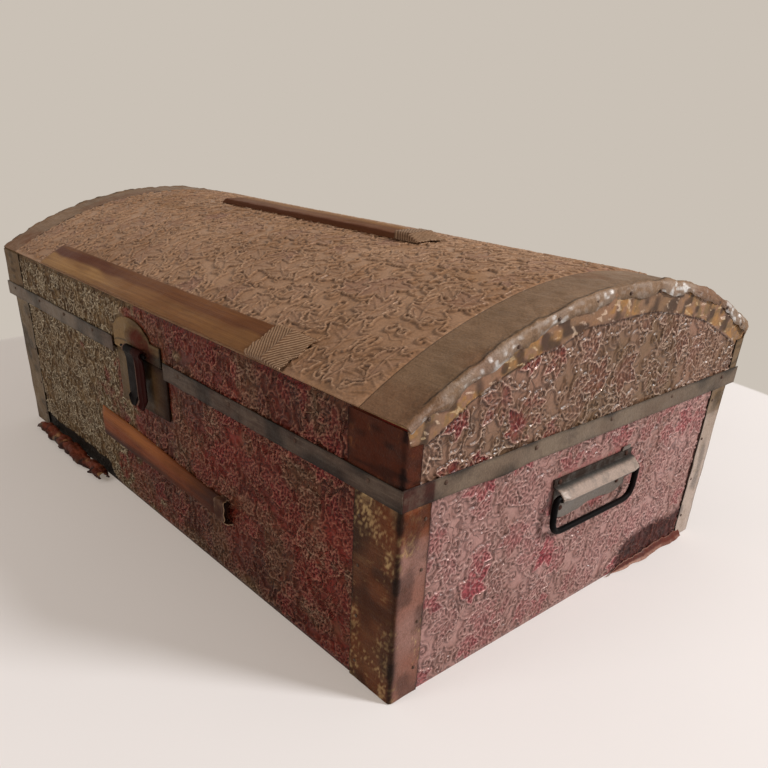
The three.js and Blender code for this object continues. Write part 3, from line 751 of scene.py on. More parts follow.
# Each material's kind of surface, its colours and values in the kind's order, the height of its bumps in mm,
# how strongly it shines and, for the boards, the turn of its places. A colour is written from 0 to 255, or as
# the name of its setting
FINISHES = {
    # In the pressed paints, the Worn colours are worn paint and also painted highlights on the ridges, and
    # the groove colour, fifth in each row, is dirt and painted shade.
    "red front paint": (
        "Pressed paint", ("front", (72, 30, 20), (98, 52, 36), "leaf_red", (20, 8, 6), (204, 160, 128),
                          "front_olive", (84, 62, 40), (214, 200, 172)),
        (0.75, 0.9, 0.36, -0.04, 130.0, 0.9, 1.3, 0.08, 0.2), 1.0, 0.1),
    "taupe end paint": (
        "Pressed paint", ("end", (128, 92, 82), (160, 126, 118), (168, 58, 70), (44, 20, 18), (228, 198, 188),
                          (70, 22, 15), (40, 14, 10), (150, 96, 78)),
        (0.4, 0.95, 0.44, -0.04, 75.0, 0.45, 0.8, 0.05, 0.07), 1.0, 0.25),
    "brown lid end paint": (
        "Pressed paint", ("lid_end", (98, 74, 52), (130, 100, 84), (130, 22, 28), (34, 17, 12),
                          (224, 198, 178), (138, 98, 54), (104, 80, 54), (196, 170, 132)),
        (0.6, 0.95, 0.56, -0.04, 80.0, 0.4, 0.7, 0.05, 0.07), 1.0, 0.25),
    "tan dome paint": (
        "Pressed paint", ("dome", (136, 100, 72), (164, 132, 108), (152, 110, 92), (46, 26, 16),
                          (206, 176, 150), (140, 98, 58), (124, 92, 64), (190, 160, 132)),
        (0.4, 0.9, 0.34, 0.06, 42.0, 0.2, 1.6, 0.03, 0.06), 1.0, 0.2),
    # Its near-white bare colour is bare metal and the painted glints on the dome strips' folds.
    "browned strip tin": (
        "Tarnish", ("plain", (96, 72, 50), (140, 112, 86), (206, 202, 198), (98, 58, 34)),
        (0.25, 0.0, 0.35, 0.35), 0.9, 0.25),
    "olive corner tin": (
        "Tarnish", ((108, 88, 62), (80, 62, 42), (140, 122, 96), (168, 150, 138), (98, 77, 54)),
        (0.3, 0.1, 0.2, 0.1), 0.7, 0.16),
    "dark lid corner tin": (
        "Tarnish", ((62, 31, 19), (36, 16, 10), (140, 86, 44), (84, 42, 22), (66, 28, 13)),
        (0.3, 0.1, 0.2, 0.1), 1.1, 0.1),
    "rusty corner tin": (
        "Tarnish", ((86, 48, 28), (60, 36, 21), (172, 142, 98), (134, 98, 88), (104, 50, 22)),
        (0.3, 0.1, 0.2, 0.12), 1.1, 0.1),
    "ribbed cap tin": (
        "Tarnish", ((108, 76, 52), (70, 46, 30), (150, 118, 90), (172, 142, 114), (60, 34, 24)),
        (0.2, 0.1, 0.2, 0.35), 0.3, 0.16),
    "grey band steel": (
        "Tarnish", ("steel", (58, 44, 36), (122, 106, 90), (132, 116, 98), (54, 22, 13)),
        (0.4, 0.3, 0.4, 0.35), 0.4, 0.2),
    "rusted lock steel": (
        "Tarnish", ((98, 76, 46), (70, 50, 30), (128, 102, 66), (136, 106, 66), (74, 31, 19)),
        (0.35, 0.05, 0.1, 0.35), 0.5, 0.1),
    "worn handle steel": (
        "Tarnish", ((94, 92, 88), (74, 70, 65), (126, 116, 106), (148, 130, 118), (40, 29, 23)),
        (0.35, 0.05, 0.0, 0.2), 0.4, 0.14),
    "japanned black steel": (
        "Tarnish", ("black", (16, 10, 10), (36, 28, 26), (150, 116, 100), (42, 15, 12)),
        (0.2, 0.05, 0.1, 0.1), 0.3, 0.04),
    "dark torn tin": (
        "Tarnish", ((66, 22, 17), (36, 14, 11), (120, 62, 40), (196, 156, 136), (84, 32, 18)),
        (0.3, 0.1, 0.2, 0.35), 0.9, 0.16),
    "crumpled rusty tin": (
        "Tarnish", ((92, 42, 30), (44, 22, 17), (140, 78, 48), (158, 118, 76), (118, 52, 28)),
        (0.4, 0.1, 0.2, 0.35), 0.9, 0.16),
    "worn slat varnish": (
        "Wood grain", ("slat", (84, 48, 24), (50, 26, 12), (84, 50, 26), (150, 112, 68), (78, 36, 20)),
        (), 0.35, 0.16),
    "dark slat varnish": (
        "Wood grain", ((132, 68, 32), (84, 38, 18), (40, 18, 10), (54, 26, 16), (150, 94, 50), (46, 22, 16)),
        (), 0.35, 0.12),
    "pine_along_x": ("Wood grain", ("pine", *PINE), (), 0.4, 0.5, (0.0, 0.0, 0.0)),
    "pine_along_y": ("Wood grain", ("pine", *PINE), (), 0.4, 0.5, (0.0, 0.0, math.pi / 2)),
}


def surface_group(kind):
    """The group of nodes that all materials of a kind share."""
    found = bpy.data.node_groups.get(kind)
    if found:
        return found
    build, colour_labels, values = SURFACES[kind]
    tree = bpy.data.node_groups.new(kind, "ShaderNodeTree")
    sockets = {} if build is build_pressed_paint else {"Places": "NodeSocketVector"}
    sockets |= dict.fromkeys(colour_labels, "NodeSocketColor") | dict.fromkeys(values, "NodeSocketFloat")
    for label, socket_type in sockets.items():
        socket = tree.interface.new_socket(label, in_out="INPUT", socket_type=socket_type)
        if label in values:
            socket.default_value = values[label]
    into = tree.nodes.new("NodeGroupInput")
    results = build(tree, {label: Signal(into.outputs[label]) for label in sockets})
    for label in results:
        socket_type = "NodeSocketColor" if label == "Color" else "NodeSocketFloat"
        tree.interface.new_socket(label, in_out="OUTPUT", socket_type=socket_type)
    add_node(tree, "NodeGroupOutput", results)
    return tree


def finish(name):
    """The material of this name, made when it is first asked for."""
    found = bpy.data.materials.get(name)
    if found:
        return found
    kind, shades, values, bump, shine, *turn = FINISHES[name]
    build, colour_labels, defaults = SURFACES[kind]
    material = bpy.data.materials.new(name)
    material.use_nodes = True
    tree = material.node_tree
    tree.nodes.clear()
    given = dict(zip(defaults, values))
    for label, rgb in zip(colour_labels, shades):
        given[label] = tuple(getattr(colours(), rgb)) if isinstance(rgb, str) else paint(*rgb)
    if build is not build_pressed_paint:
        where = object_places(tree)
        given["Places"] = stretched(where, (1.0, 1.0, 1.0), *turn) if turn else where
    effect = add_node(tree, "ShaderNodeGroup", given, node_tree=surface_group(kind))
    put_out = {socket.name: Signal(socket) for socket in effect.outputs}
    bumps = result("ShaderNodeBump", {"Height": put_out.pop("Height"), "Distance": bump * MM})
    inputs = {"Base Color": put_out.pop("Color"), "Normal": bumps, "Specular IOR Level": shine, **put_out}
    surface = result("ShaderNodeBsdfPrincipled", inputs)
    add_node(tree, "ShaderNodeOutputMaterial", {"Surface": surface})
    return material


# Pressed tins

BASE_OUT = -0.6      # where the pressed ground lies, measured out from the CAD tin's face
BACK_OUT = -1.0      # the plain back of a pressed sheet
THINNEST = 0.2       # what is left of a pressed sheet at its lowest
SHEET_RELIEF = {True: "front_relief", False: "relief"}          # by whether the side is a long one
# How much of a long side or an end each corner tin covers, in mm
COVERED = {("body", True): 46, ("body", False): 27, ("lid", True): 54, ("lid", False): 13}
BACK_AXES = {"front": (1, -1), "back": (1, 1), "right": (0, 1), "left": (0, -1)}
BODIES = {"body": "trunk_body", "lid": "lid"}
HALVES = {"body": (HALF_L, HALF_D), "lid": (LID_HALF_L, LID_HALF_D)}
FLANGE_BAND = 25     # how deep the strip's rusty lower part hangs on the lid's end
LOCK_X = -4          # the lock's middle
ROUND_X = -14        # the middle of the round top of its plate on the lid
HANDLE_MIDDLE = 4    # the handle's middle on its end


def under_fittings(side, lid, along, z):
    """1 where a lock plate or a handle presses on an upright tin. along starts from the side's middle."""
    if side == "front" and lid:
        dome = ((along - ROUND_X) / 45) ** 2 + ((z - 194) / 26) ** 2
        return np.maximum(fall(dome, 0.9, 1.1), fall(np.abs(along - LOCK_X), 52, 56) * fall(z, 201, 205))
    if side == "front":
        return fall(np.abs(along - LOCK_X), 53, 58) * rise(z, 120, 125)
    if side == "back" or lid:
        return 0
    return fall(np.abs(along - HANDLE_MIDDLE), 57, 62) * rise(z, 101, 105) * fall(z, 146, 150)


def in_keyway(side, lid, along, z):
    """1 where the front tin lies behind the lock plate's opening for the hasp's catch."""
    if side != "front" or lid:
        return 0
    return fall(np.abs(along - LOCK_X), 8, 10) * fall(np.abs(z - 146.5), 11, 13)


def nothing(along, height, top=None):
    return 0


def pressed_side(part, side, cell, seed, amount_at, rust_at, bare_at=nothing, line=0.9, scale=1.0):
    """One upright pressed tin. Places on it are mm from its left edge and from its foot."""
    lid = part == "lid"
    long_side = side in ("front", "back")
    node = f"{part}_{side}_tin" if long_side else f"{part}_{side}_end_tin"
    low, high = corners(node)
    half_l, half_d = HALVES[part]
    half = high[0] if long_side else high[1]
    arched = lid and not long_side
    width = 2 * half
    tall = high[2] - low[2]
    drop = 0 if lid else FOOT_DROP
    board, coat, grooves = vine_board(width, tall, sizes().leaf / MM * scale, line, seed, amount_at)
    tall_relief = getattr(sizes(), SHEET_RELIEF[long_side]) / MM

    def shape(u, v):
        along = u * width
        top = arch_height(along - half, LAP) - low[2] if arched else tall
        height = v * (top + drop) - drop
        x, z = along - half, low[2] + height
        edge = rise(np.minimum(np.minimum(along, width - along), np.minimum(height, top - height)), 0.4, 4.0)
        from_leg = np.minimum(along, width - along) - COVERED[part, long_side]
        open_part = rise(from_leg, -1, 2) * (1 - 0.75 * under_fittings(side, lid, x, z))
        bare = bare_at(along, height)
        keyway = in_keyway(side, lid, x, z)
        relief = read_board(board, along, height) * edge * open_part * (1 - 0.9 * bare) * (1 - keyway)
        # Also darkened: a line beside each corner tin's leg, a painted shadow of the leg's edge.
        crease = np.maximum(read_board(grooves, along, height) * open_part, ridge(from_leg - 0.6, 1.1))
        # The tin seen through the lock plate's opening is darkened fully: painted shade in the opening.
        crease = np.maximum(crease, keyway)
        painted = read_board(coat, along, height) * (1 - keyway)
        hang = glints = 0
        if arched:
            over_line = height - top + (FLANGE_BAND + 5 * wobble(along, 0, 30, seed + 53))
            hang = rise(over_line, -0.3, 1.0)
            relief = relief * (1 - hang)
            painted = painted * (1 - hang)
            blots = 0.8 * patchy(along, height, 8, seed + 55, 0.5, 0.8)
            # Dark blots of dirt in the band, and a dark line just under its lower edge: painted shade under
            # the step.
            crease = np.maximum(crease * (1 - hang) + blots * hang, ridge(over_line + 0.8, 0.9))
            # glints: painted highlights, kept with the relief so that they take the pale worn colour
            glints = patchy(along + height, height * 2, 5, seed + 56, 0.68, 0.85) * hang
        dents = soft_noise(along, height, 95, seed + 50) + 0.5 * soft_noise(along, height, 31, seed + 51)
        out = BASE_OUT + relief * tall_relief + (dents * 0.5 - 0.3) * edge * open_part - 0.5 * bare
        lifted = hang * (0.45 + 0.5 * soft_noise(along, height, 13, seed + 54))
        out = np.maximum(out, BACK_OUT + THINNEST) + lifted
        return on_side(side, x, z, out, half_l, half_d), {
            "relief": np.maximum(relief, glints), "leaf_paint": painted, "crease": crease,
            "smooth_part": np.maximum(hang, 1 - rise(from_leg, -1, 2)), "rust": rust_at(along, height, top),
            "bare": bare, "across": v if arched else u}

    def back(points):
        axis, sign = BACK_AXES[side]
        points[:, axis] = sign * ((half_d if long_side else half_l) + BACK_OUT)
        return points

    piece = shaped_grid(f"pressed_{part}_{side}", int(tall / cell), int(width / cell), shape)
    close_sheet(piece, back)
    end_finish = "brown lid end paint" if lid else "taupe end paint"
    dress(piece, "red front paint" if long_side else end_finish, BODIES[part],
          "embossed_tin_front" if long_side else "embossed_tin_end", node)


def front_leaf_paint(x, y, chance):
    at_right = rise(x, 230, 330)
    return at_right * (0.35 + 0.65 * chance) + (1 - at_right) * 0.2 * chance


OLIVE_TO = 450       # how far along the lid's front, from its left edge, the paint has faded to olive


def front_olive(along, height, top):
    """The front's left part has faded to olive, more so towards its foot."""
    ragged = 170 * wobble(along, height, 19, 5) + 120 * wobble(along, height, 7, 7)
    fade = fall(along - ragged, OLIVE_TO - 170, OLIVE_TO + 40)
    patches = 0.34 * patchy(along, height, 30, 6, 0.3, 0.85)
    return np.maximum(0.85 * fade, patches)


def body_front_olive(along, height, top):
    foot = fall(height, 4, 34) * 0.55 * soft_noise(along, height, 50, 9)
    return np.maximum(front_olive(along + 70, height, top), foot)


TORN_FROM = 4        # mm along the front where its foot is torn off, and how far up
TORN_TO = 268
TORN_HIGH = 19


def torn_away(along, height):
    """1 where the tin is gone from the foot of the front."""
    edge = TORN_HIGH + 4 * wobble(along, 0, 17, 12) + 3 * wobble(along, 0, 5, 13)
    edge = edge * rise(TORN_TO - along, 0, 26) * rise(along, TORN_FROM - 4, TORN_FROM + 3)
    return rise(edge - height, -0.6, 0.6)


def end_leaf_paint(x, y, chance):
    return 0.15 + 0.85 * chance ** 1.4


def lid_end_leaf_paint(x, y, chance):
    reddest = fall(x, 130, 190) * rise(x, 20, 50)
    return np.clip(reddest * 1.4 * chance ** 0.4 + 0.32 * chance, 0, 1)


def lid_end_rust(along, height, top):
    """The rusty lower part of the dome strip's flange, bright with ochre in places."""
    under = rise(height - top, -FLANGE_BAND - 1, -FLANGE_BAND + 2)
    patches = soft_noise(along, height, 24, 15) * 0.7 + soft_noise(along, height, 5, 16) * 0.5
    return np.clip(under * (0.3 + 0.7 * rise(patches, 0.6, 0.95)), 0, 1)


def right_end_rust(along, height, top):
    low_part = fall(height, 18, 40 + 14 * soft_noise(along, height, 22, 18))
    return rise(along, 286, 330) * low_part


def add_embossed_tins():
    pressed_side("body", "front", 1.3, 1, front_leaf_paint, body_front_olive, torn_away, 1.1, 0.8)
    pressed_side("body", "back", 1.85, 2, front_leaf_paint, nothing, line=1.35, scale=0.9)
    pressed_side("body", "right", 0.95, 3, end_leaf_paint, right_end_rust)
    pressed_side("body", "left", 1.25, 4, end_leaf_paint, nothing)
    pressed_side("lid", "front", 1.25, 5, front_leaf_paint, front_olive, line=1.1, scale=0.8)
    pressed_side("lid", "back", 1.5, 6, front_leaf_paint, nothing, line=1.35, scale=0.9)
    pressed_side("lid", "right", 0.9, 7, lid_end_leaf_paint, lid_end_rust, line=0.85)
    pressed_side("lid", "left", 1.25, 8, lid_end_leaf_paint, lid_end_rust)
    pressed_dome()


DOME_CELL = 1.0      # mm between the dome's points
DOME_PARTS = 4


def pressed_dome():
    """The dome's tin, in parts side by side, whose points are the same where they meet."""
    width = 2 * DOME_TIN_L
    arc = 2 * DOME_TURN * DOME_R
    board, coat, grooves = vine_board(width, arc, sizes().leaf / MM * 1.2, 1.05, 11,
                                      lambda x, y, chance: chance ** 2, 0.4, 0.3, 1.25)
    slat_from = corners("front_dome_slat")[0][0]
    slat_to = corners("front_dome_slat_cap")[1][0]

    def back(points):
        r = np.hypot(points[:, 1], points[:, 2] - DOME_Z)
        reach = (DOME_R + BACK_OUT) / r
        points[:, 1] *= reach
        points[:, 2] = DOME_Z + (points[:, 2] - DOME_Z) * reach
        return points

    for part in range(DOME_PARTS):

        def shape(u, v):
            along = (part + u) / DOME_PARTS * width
            x = along - width / 2
            up = v * arc
            from_edge = np.minimum(up, arc - up)
            edge = rise(from_edge, 0.4, 7) * rise(np.minimum(along, width - along), -1, 4)
            relief = read_board(board, along, up) * edge
            dents = soft_noise(along, up, 120, 30) + 0.4 * soft_noise(along, up, 40, 31)
            slatted = rise(x, slat_from - 2, slat_from + 1) * fall(x, slat_to - 2, slat_to + 1) * (v < 0.5)
            lip = fall(from_edge, 1, 7) * (1 - slatted)
            out = BASE_OUT + relief * sizes().dome_relief / MM + (dents - 0.4) * edge
            out = np.maximum(out, BACK_OUT + THINNEST) + lip * (0.5 + 1.1 * soft_noise(along, up, 16, 32))
            return on_dome(x, (v * 2 - 1) * DOME_TURN, out), {
                "relief": relief, "leaf_paint": read_board(coat, along, up), "across": u, "bare": 0,
                "crease": read_board(grooves, along, up) * edge, "smooth_part": 1 - rise(from_edge, 3, 12),
                "rust": 0.35 * patchy(along, up, 34, 33, 0.72, 0.9)}

        cols = int(width / DOME_PARTS / DOME_CELL)
        piece = shaped_grid(f"pressed_dome_{part + 1}", int(arc / DOME_CELL), cols, shape)
        close_sheet(piece, back)
        dress(piece, "tan dome paint", "lid", "embossed_tin_dome", "dome_tin")


# Plain tins: corners, dome strips and bands

CORNER_BEND = 3.2    # radius of a corner tin's bend
CORNER_LEGS = {"body": (48, 29), "lid": (56, 16)}      # a corner tin's reach along a long side and an end


def seed_of(text):
    """A small number from a name, the same on each run."""
    return sum(ord(letter) * (k + 1) for k, letter in enumerate(text)) % 997


def corner_tin(part, name, sx, sy):
    lid = part == "lid"
    half_l, half_d = HALVES[part]
    long_leg, end_leg = CORNER_LEGS[part]
    node = f"{part}_corner_tin_{name}"
    low, high = corners(node)
    out_x = sx * (half_l + LAP)
    out_y = sy * (half_d + LAP)
    legs = [(out_x - sx * long_leg, out_y), (out_x, out_y), (out_x, out_y - sy * end_leg)]
    if sx * sy > 0:
        legs.reverse()
    path = rounded_path(legs, CORNER_BEND)
    seed = 60 + seed_of(node)
    nearest = 1 if name == "front_right" else 0.4

    def shape(u, v):
        (at_x, at_y), (way_x, way_y) = follow(path, u)
        off_side = np.abs(at_y - out_y)
        top = high[2] - (12 if lid else 0) * rise(off_side, 1, 5)
        foot = low[2] - (0 if lid else FOOT_DROP) + 0.8 * soft_noise(u * 60, 0, 9, seed)
        z = foot + v * (top - foot)
        edge = np.minimum(u, 1 - u) * (long_leg + end_leg)
        flare = fall(edge, 0, 5) * (soft_noise(u * 10, z, 14, seed + 1) - 0.25) * 0.9
        dents = wobble(u * 80, z, 24, seed + 2) * 0.7
        dents = dents + wobble(u * 80, z, 7, seed + 3) * 0.25
        out = np.maximum(flare + dents, -0.25)
        x, y = u * 77, v * 170
        on_end = rise(off_side, 0.5, 3)
        high_up = 0.9 if lid else rise(v, 0.72, 0.95) * on_end
        chips = soft_noise(x, y, 1.8, seed + 7) * soft_noise(x, v * 120, 20, seed + 9)
        torn_top = 0 if lid else 0.6 * (rise(v, 0.88, 0.98) * patchy(x, y, 5, seed + 5, 0.5, 0.75))
        to_bend = np.hypot(at_x - out_x, at_y - out_y)
        broken = 0.3 + 0.7 * patchy(y, 0, 22, seed + 6, 0.2, 0.5)
        blots = 0.55 * patchy(x, y, 15, seed + 8, 0.55, 0.85)
        # Darker along the bend and in blots, and along the sheet's edges as painted shade.
        return stacked(at_x + way_y * out, at_y - way_x * out, z), {
            "bare": on_end * (0.15 if lid else 0.9 - 0.5 * (v > 0.8)),
            "rust": np.clip(high_up * 0.6 + 0.5 * soft_noise(u * 60, v * 150, 26, seed + 4) - 0.15, 0, 1),
            "crease": np.clip(0.9 * ridge(to_bend - 1, 2.6) * broken + 0.8 * ridge(edge, 0.9) + blots, 0, 1),
            "flakes": nearest * np.clip(0.7 * rise(chips, 0.4, 0.6) + torn_top, 0, 1)}

    piece = bent_sheet(f"tin_{node}", int((high[2] - low[2]) / 2.2), 60, shape, TIN)
    olive = sx < 0 or sy > 0
    material = "olive corner tin" if olive else "dark lid corner tin" if lid else "rusty corner tin"
    dress(piece, material, BODIES[part], "plain_tin", node)


def add_corner_tins():
    for end, sy in (("front", -1), ("back", 1)):
        for hand, sx in (("left", -1), ("right", 1)):
            for part in BODIES:
                corner_tin(part, f"{end}_{hand}", sx, sy)


def dome_strip(name, side):
    """The strip over one end of the dome, crumpled where it is folded down over the lid's end."""
    depth = sizes().flange / MM
    inner = DOME_TIN_L + GAP
    outer = LID_HALF_L + LAP
    path = rounded_path([(inner, 0), (outer, 0), (outer, -depth)], 1.8)
    if side < 0:
        path = (path * (-1, 1))[::-1]
    seed = 80 + side

    def shape(u, v):
        (x, r), (way_x, way_y) = follow(path, u)
        arc = (v * 2 - 1) * DOME_TURN
        run = arc * DOME_R
        reach = np.abs(x)
        fold = rise(reach, outer - 14, outer - 1)
        down = np.clip(-r / depth, 0, 1)
        crumple = soft_noise(run, reach, 9, seed + 1) - 0.45
        buckle = soft_noise(run, r * 2, 26, seed + 2) - 0.5
        wrinkle = np.abs(wobble(run + reach * 0.7, reach * 0.2, 15, seed + 3))
        sharp = 0.5 - np.abs(wobble(run + 2 * reach, reach * 1.5, 13, seed + 9)) * 2
        small = 0.5 - np.abs(wobble(run, reach * 2 + r * 2, 6, seed + 13)) * 2
        lift = fold * (1.3 * crumple + 1.3 * buckle + 1.2 * sharp + 1.0 * small)
        lift = lift + 1.6 * wrinkle * rise(reach, inner + 8, outer - 20)
        lift = lift + 0.7 * wobble(run, reach, 60, seed + 4)
        ragged = (soft_noise(run, 0, 23, seed + 5) - 0.55) * 6 + wobble(run, 0, 7, seed + 8) * 2
        shorter = 1 - 0.5 * fall(run, -226, -205)
        r_out = r * shorter + way_x * lift * (1 - down) - ragged * down * shorter
        x_out = x - way_y * np.clip(lift, -0.7, 2.4) * rise(down, 0, 0.3)
        edge = rise(reach, outer - 3, outer - 0.5)
        glints = patchy(run, r * 2 + reach, 4.5, seed + 6, 0.5, 0.8)
        grazed = 0.12 + 0.88 * patchy(run, 0, 30, seed + 10, 0.35, 0.65)
        torn = ridge(reach - outer + 3.2 + 3 * wobble(run, 0, 12, seed + 11), 0.8)
        torn = torn * patchy(run, 0, 16, seed + 12, 0.2, 0.45)
        # under: the flange's lower part made darker, a painted shade
        under = 0.45 * rise(-r, depth * 0.45, depth)
        stain = patchy(run, x, 42, seed + 7, 0.55, 0.85)
        # Bare metal shows on the fold's edge, broken into painted glints. Darker: a broken line along the
        # fold, a painted shadow along the strip's inner edge, and the flange's lower part.
        return on_dome(x_out, arc, np.maximum(r_out, -2 - depth - 6)), {
            "bare": edge * (0.1 + 0.9 * glints) * grazed * rise(-r, 0.3, 1.5),
            "rust": np.clip(0.3 * stain + 0.25 * fall(run, -225, -190), 0, 1),
            "crease": np.clip(torn + 0.7 * ridge(reach - inner, 0.8) + under, 0, 1)}

    piece = bent_sheet(f"folded_strip_{name}", 330, 46, shape, TIN)
    dress(piece, "browned strip tin", "lid", "plain_tin", f"dome_strip_{name}")


def add_dome_strips():
    dome_strip("left", -1)
    dome_strip("right", 1)


BAND_THICK = 1.2


def band(name):
    node = f"lid_band_{name}"
    low, high = BAND_LOW[2], BAND_HIGH[2]
    first, last = corners(node)
    side = "front" if name.startswith("front") else name
    start, end = (first[0], last[0]) if side == "front" else (first[1], last[1])
    if side == "left":
        start, end = -end, -start
    face = -first[1] if side == "front" else max(abs(first[0]), abs(last[0]))
    seed = 90 + seed_of(node)
    reach = end - start

    def shape(u, v):
        run = u * reach
        along = start + run
        wave = 0.7 * wobble(along, v * 8, 45, seed) + 0.3 * wobble(along, v * 12, 11, seed + 1)
        bulge = 2.2 * np.exp(-((along + 128) / 22) ** 2) * (1 - v) if side == "right" else 0
        drop = 0.6 * wobble(along, 0, 38, seed + 2)
        near_corner = fall(along, -206, -198) if side == "right" else 0
        greenish = 0.5 * fall(along, -160, -40) if side == "front" else 0.55
        blots = 0.65 * patchy(run, v * 20, 26, seed + 5, 0.5, 0.85)
        # Darker in blots of dirt, and in lines along the top and bottom edges that are painted shade.
        return on_side(side, along, low + v * (high - low) + drop, face + wave + bulge, 0, 0), {
            "rust": np.clip(near_corner + 0.25 * soft_noise(along, v * 14, 24, seed + 3), 0, 1),
            "bare": greenish * (0.6 + 0.4 * soft_noise(run, v * 14, 30, seed + 4)),
            "crease": np.clip(blots + 0.6 * ridge(v - 1, 0.08) + 0.4 * ridge(v, 0.08), 0, 1)}

    piece = bent_sheet(f"steel_band_{name}", 12, int(reach / 3), shape, BAND_THICK)
    finish_with(piece, "BEVEL", width=0.25 * MM, segments=1, limit_method="ANGLE", angle_limit=1.0)
    dress(piece, "grey band steel", "lid", "steel", node)


def add_bands():
    for name in ("front_left", "front_right", "left", "right"):
        band(name)


# Slats and their pressed caps

LOWER_LOW, LOWER_HIGH = corners("lower_slat")
LOWER_Z = (LOWER_LOW[2] + LOWER_HIGH[2]) / 2
LOWER_NARROWER = 11  # how much narrower the lower slat is at its right end
TOP_SLAT_Y = -4
TOP_SLAT_START = 16  # what is broken off the top slat's left end, and off its cap
TOP_CAP_LOST = 14
EDGE_SLAT_Y = -211
EDGE_WIDER = 5.4     # how much further the front slat reaches over the dome's edge
SLAT_LIFT = 0.5
TOP_WIDTH, TOP_THICK = 30, 6
EDGE_WIDTH, EDGE_THICK = 28, 3.5
CAP_TIN = TIN * 0.8
CAP_RIM = 0.9        # height of a cap's rim over what its slat lies on
CAP_LOW = 0.85       # the least height of any part of it
CAP_RIB = 3.2        # from one pressed rib to the next


def onto_dome_at(y):
    """Puts (along, across, up) onto the dome at y."""
    angle = math.asin(y / DOME_R)

    def turn_to(along, across, up):
        r = DOME_R + SLAT_LIFT + up
        return stacked(along, r * math.sin(angle) + across * math.cos(angle),
                       DOME_Z + r * math.cos(angle) - across * math.sin(angle))

    return turn_to


def onto_front(along, across, up):
    return stacked(along, -HALF_D - GAP - up, LOWER_Z + across)


def dome_slat_wear(along, across):
    """The front and back dome slats: bare along the dome's edge, stained along the other."""
    side = across + 5 * wobble(along, 0, 30, 48)
    streaks = 0.55 + 0.45 * patchy(along / 4, across * 1.5, 9, 47, 0.25, 0.6)
    bare = fall(side, -5, 2) * (0.25 + 0.65 * fall(along, -120, 10)) * streaks
    return bare, rise(side, -4, 2) * (0.35 + 0.6 * fall(along, -110, -40)) * fall(side, 8, 13)


def top_slat_wear(along, across):
    return 0.5 * rise(across, 2, 10), 0.55 * fall(across, -12, -6)


def lower_slat_wear_and_light(along, across):
    # Bare along the top, most at the left: wear, and painted light on the lit top. Stained along the foot and
    # at the right end: stain, and painted shade along the foot.
    bare = rise(across, 0, 8) * (0.85 - 0.55 * rise(along, -60, 60))
    bare = bare * (0.5 + 0.5 * soft_noise(along, across, 30, 49))
    return bare, 0.9 * np.maximum(fall(across, -12, -4), rise(along, 70, 130))


def wood_slat(node, turn_to, width, thick, seed, wear_and_light, start=None, taper=14, wider=0, chamfer=0, narrower=0):
    """A wooden slat with worn edges and thinned ends. turn_to puts (along, across, up) in its place, wear
    gives its bare and stained places, and narrower is how much of its far side its right end lacks."""
    low, high = corners(node)
    first = low[0] if start is None else start
    length = high[0] - first
    near, far = -width / 2 - wider, width / 2
    shoulder = [(far - chamfer, thick), (far, thick - chamfer * 0.5)] if chamfer else [(far, thick)]
    section = rounded_path([(near, 0), (near, thick), *shoulder, (far, 0), (near, 0)], 1.4, 0.6)

    def shape(u, v):
        side, height = follow(section, u)[0]
        along = first + v * length
        ends = np.minimum(rise(v * length, 0, taper * 0.6), rise((1 - v) * length, 0, taper))
        dents = wobble(along, side * 3, 26, seed) * 0.8 + wobble(along, side, 7, seed + 1) * 0.35
        up = height * (0.35 + 0.65 * ends) + dents * (height > thick * 0.6) * ends
        across = side * (1 + 0.02 * wobble(along, 0, 40, seed + 2))
        across = across - narrower * rise(along, low[0] + 20, high[0]) * (across + width / 2) / width
        bare, stain = wear_and_light(along, side)
        return turn_to(along, across, np.maximum(up, 0)), {"bare": bare, "stain": stain}

    piece = tube(f"wood_{node}", int(length / 3), 64, shape)
    lower = turn_to is onto_front
    dress(piece, "dark slat varnish" if lower else "worn slat varnish", "trunk_body" if lower else "lid",
          "slat_wood", node)


def add_slats():
    wood_slat("top_slat", onto_dome_at(TOP_SLAT_Y), TOP_WIDTH, TOP_THICK, 41, top_slat_wear,
              corners("top_slat")[0][0] + TOP_SLAT_START)
    wood_slat("front_dome_slat", onto_dome_at(EDGE_SLAT_Y), EDGE_WIDTH, EDGE_THICK, 42, dome_slat_wear,
              wider=EDGE_WIDER)
    wood_slat("back_dome_slat", onto_dome_at(-EDGE_SLAT_Y), EDGE_WIDTH, EDGE_THICK, 43, dome_slat_wear)
    wood_slat("lower_slat", onto_front, LOWER_HIGH[2] - LOWER_LOW[2], 7, 44, lower_slat_wear_and_light,
              taper=22, chamfer=9, narrower=LOWER_NARROWER)


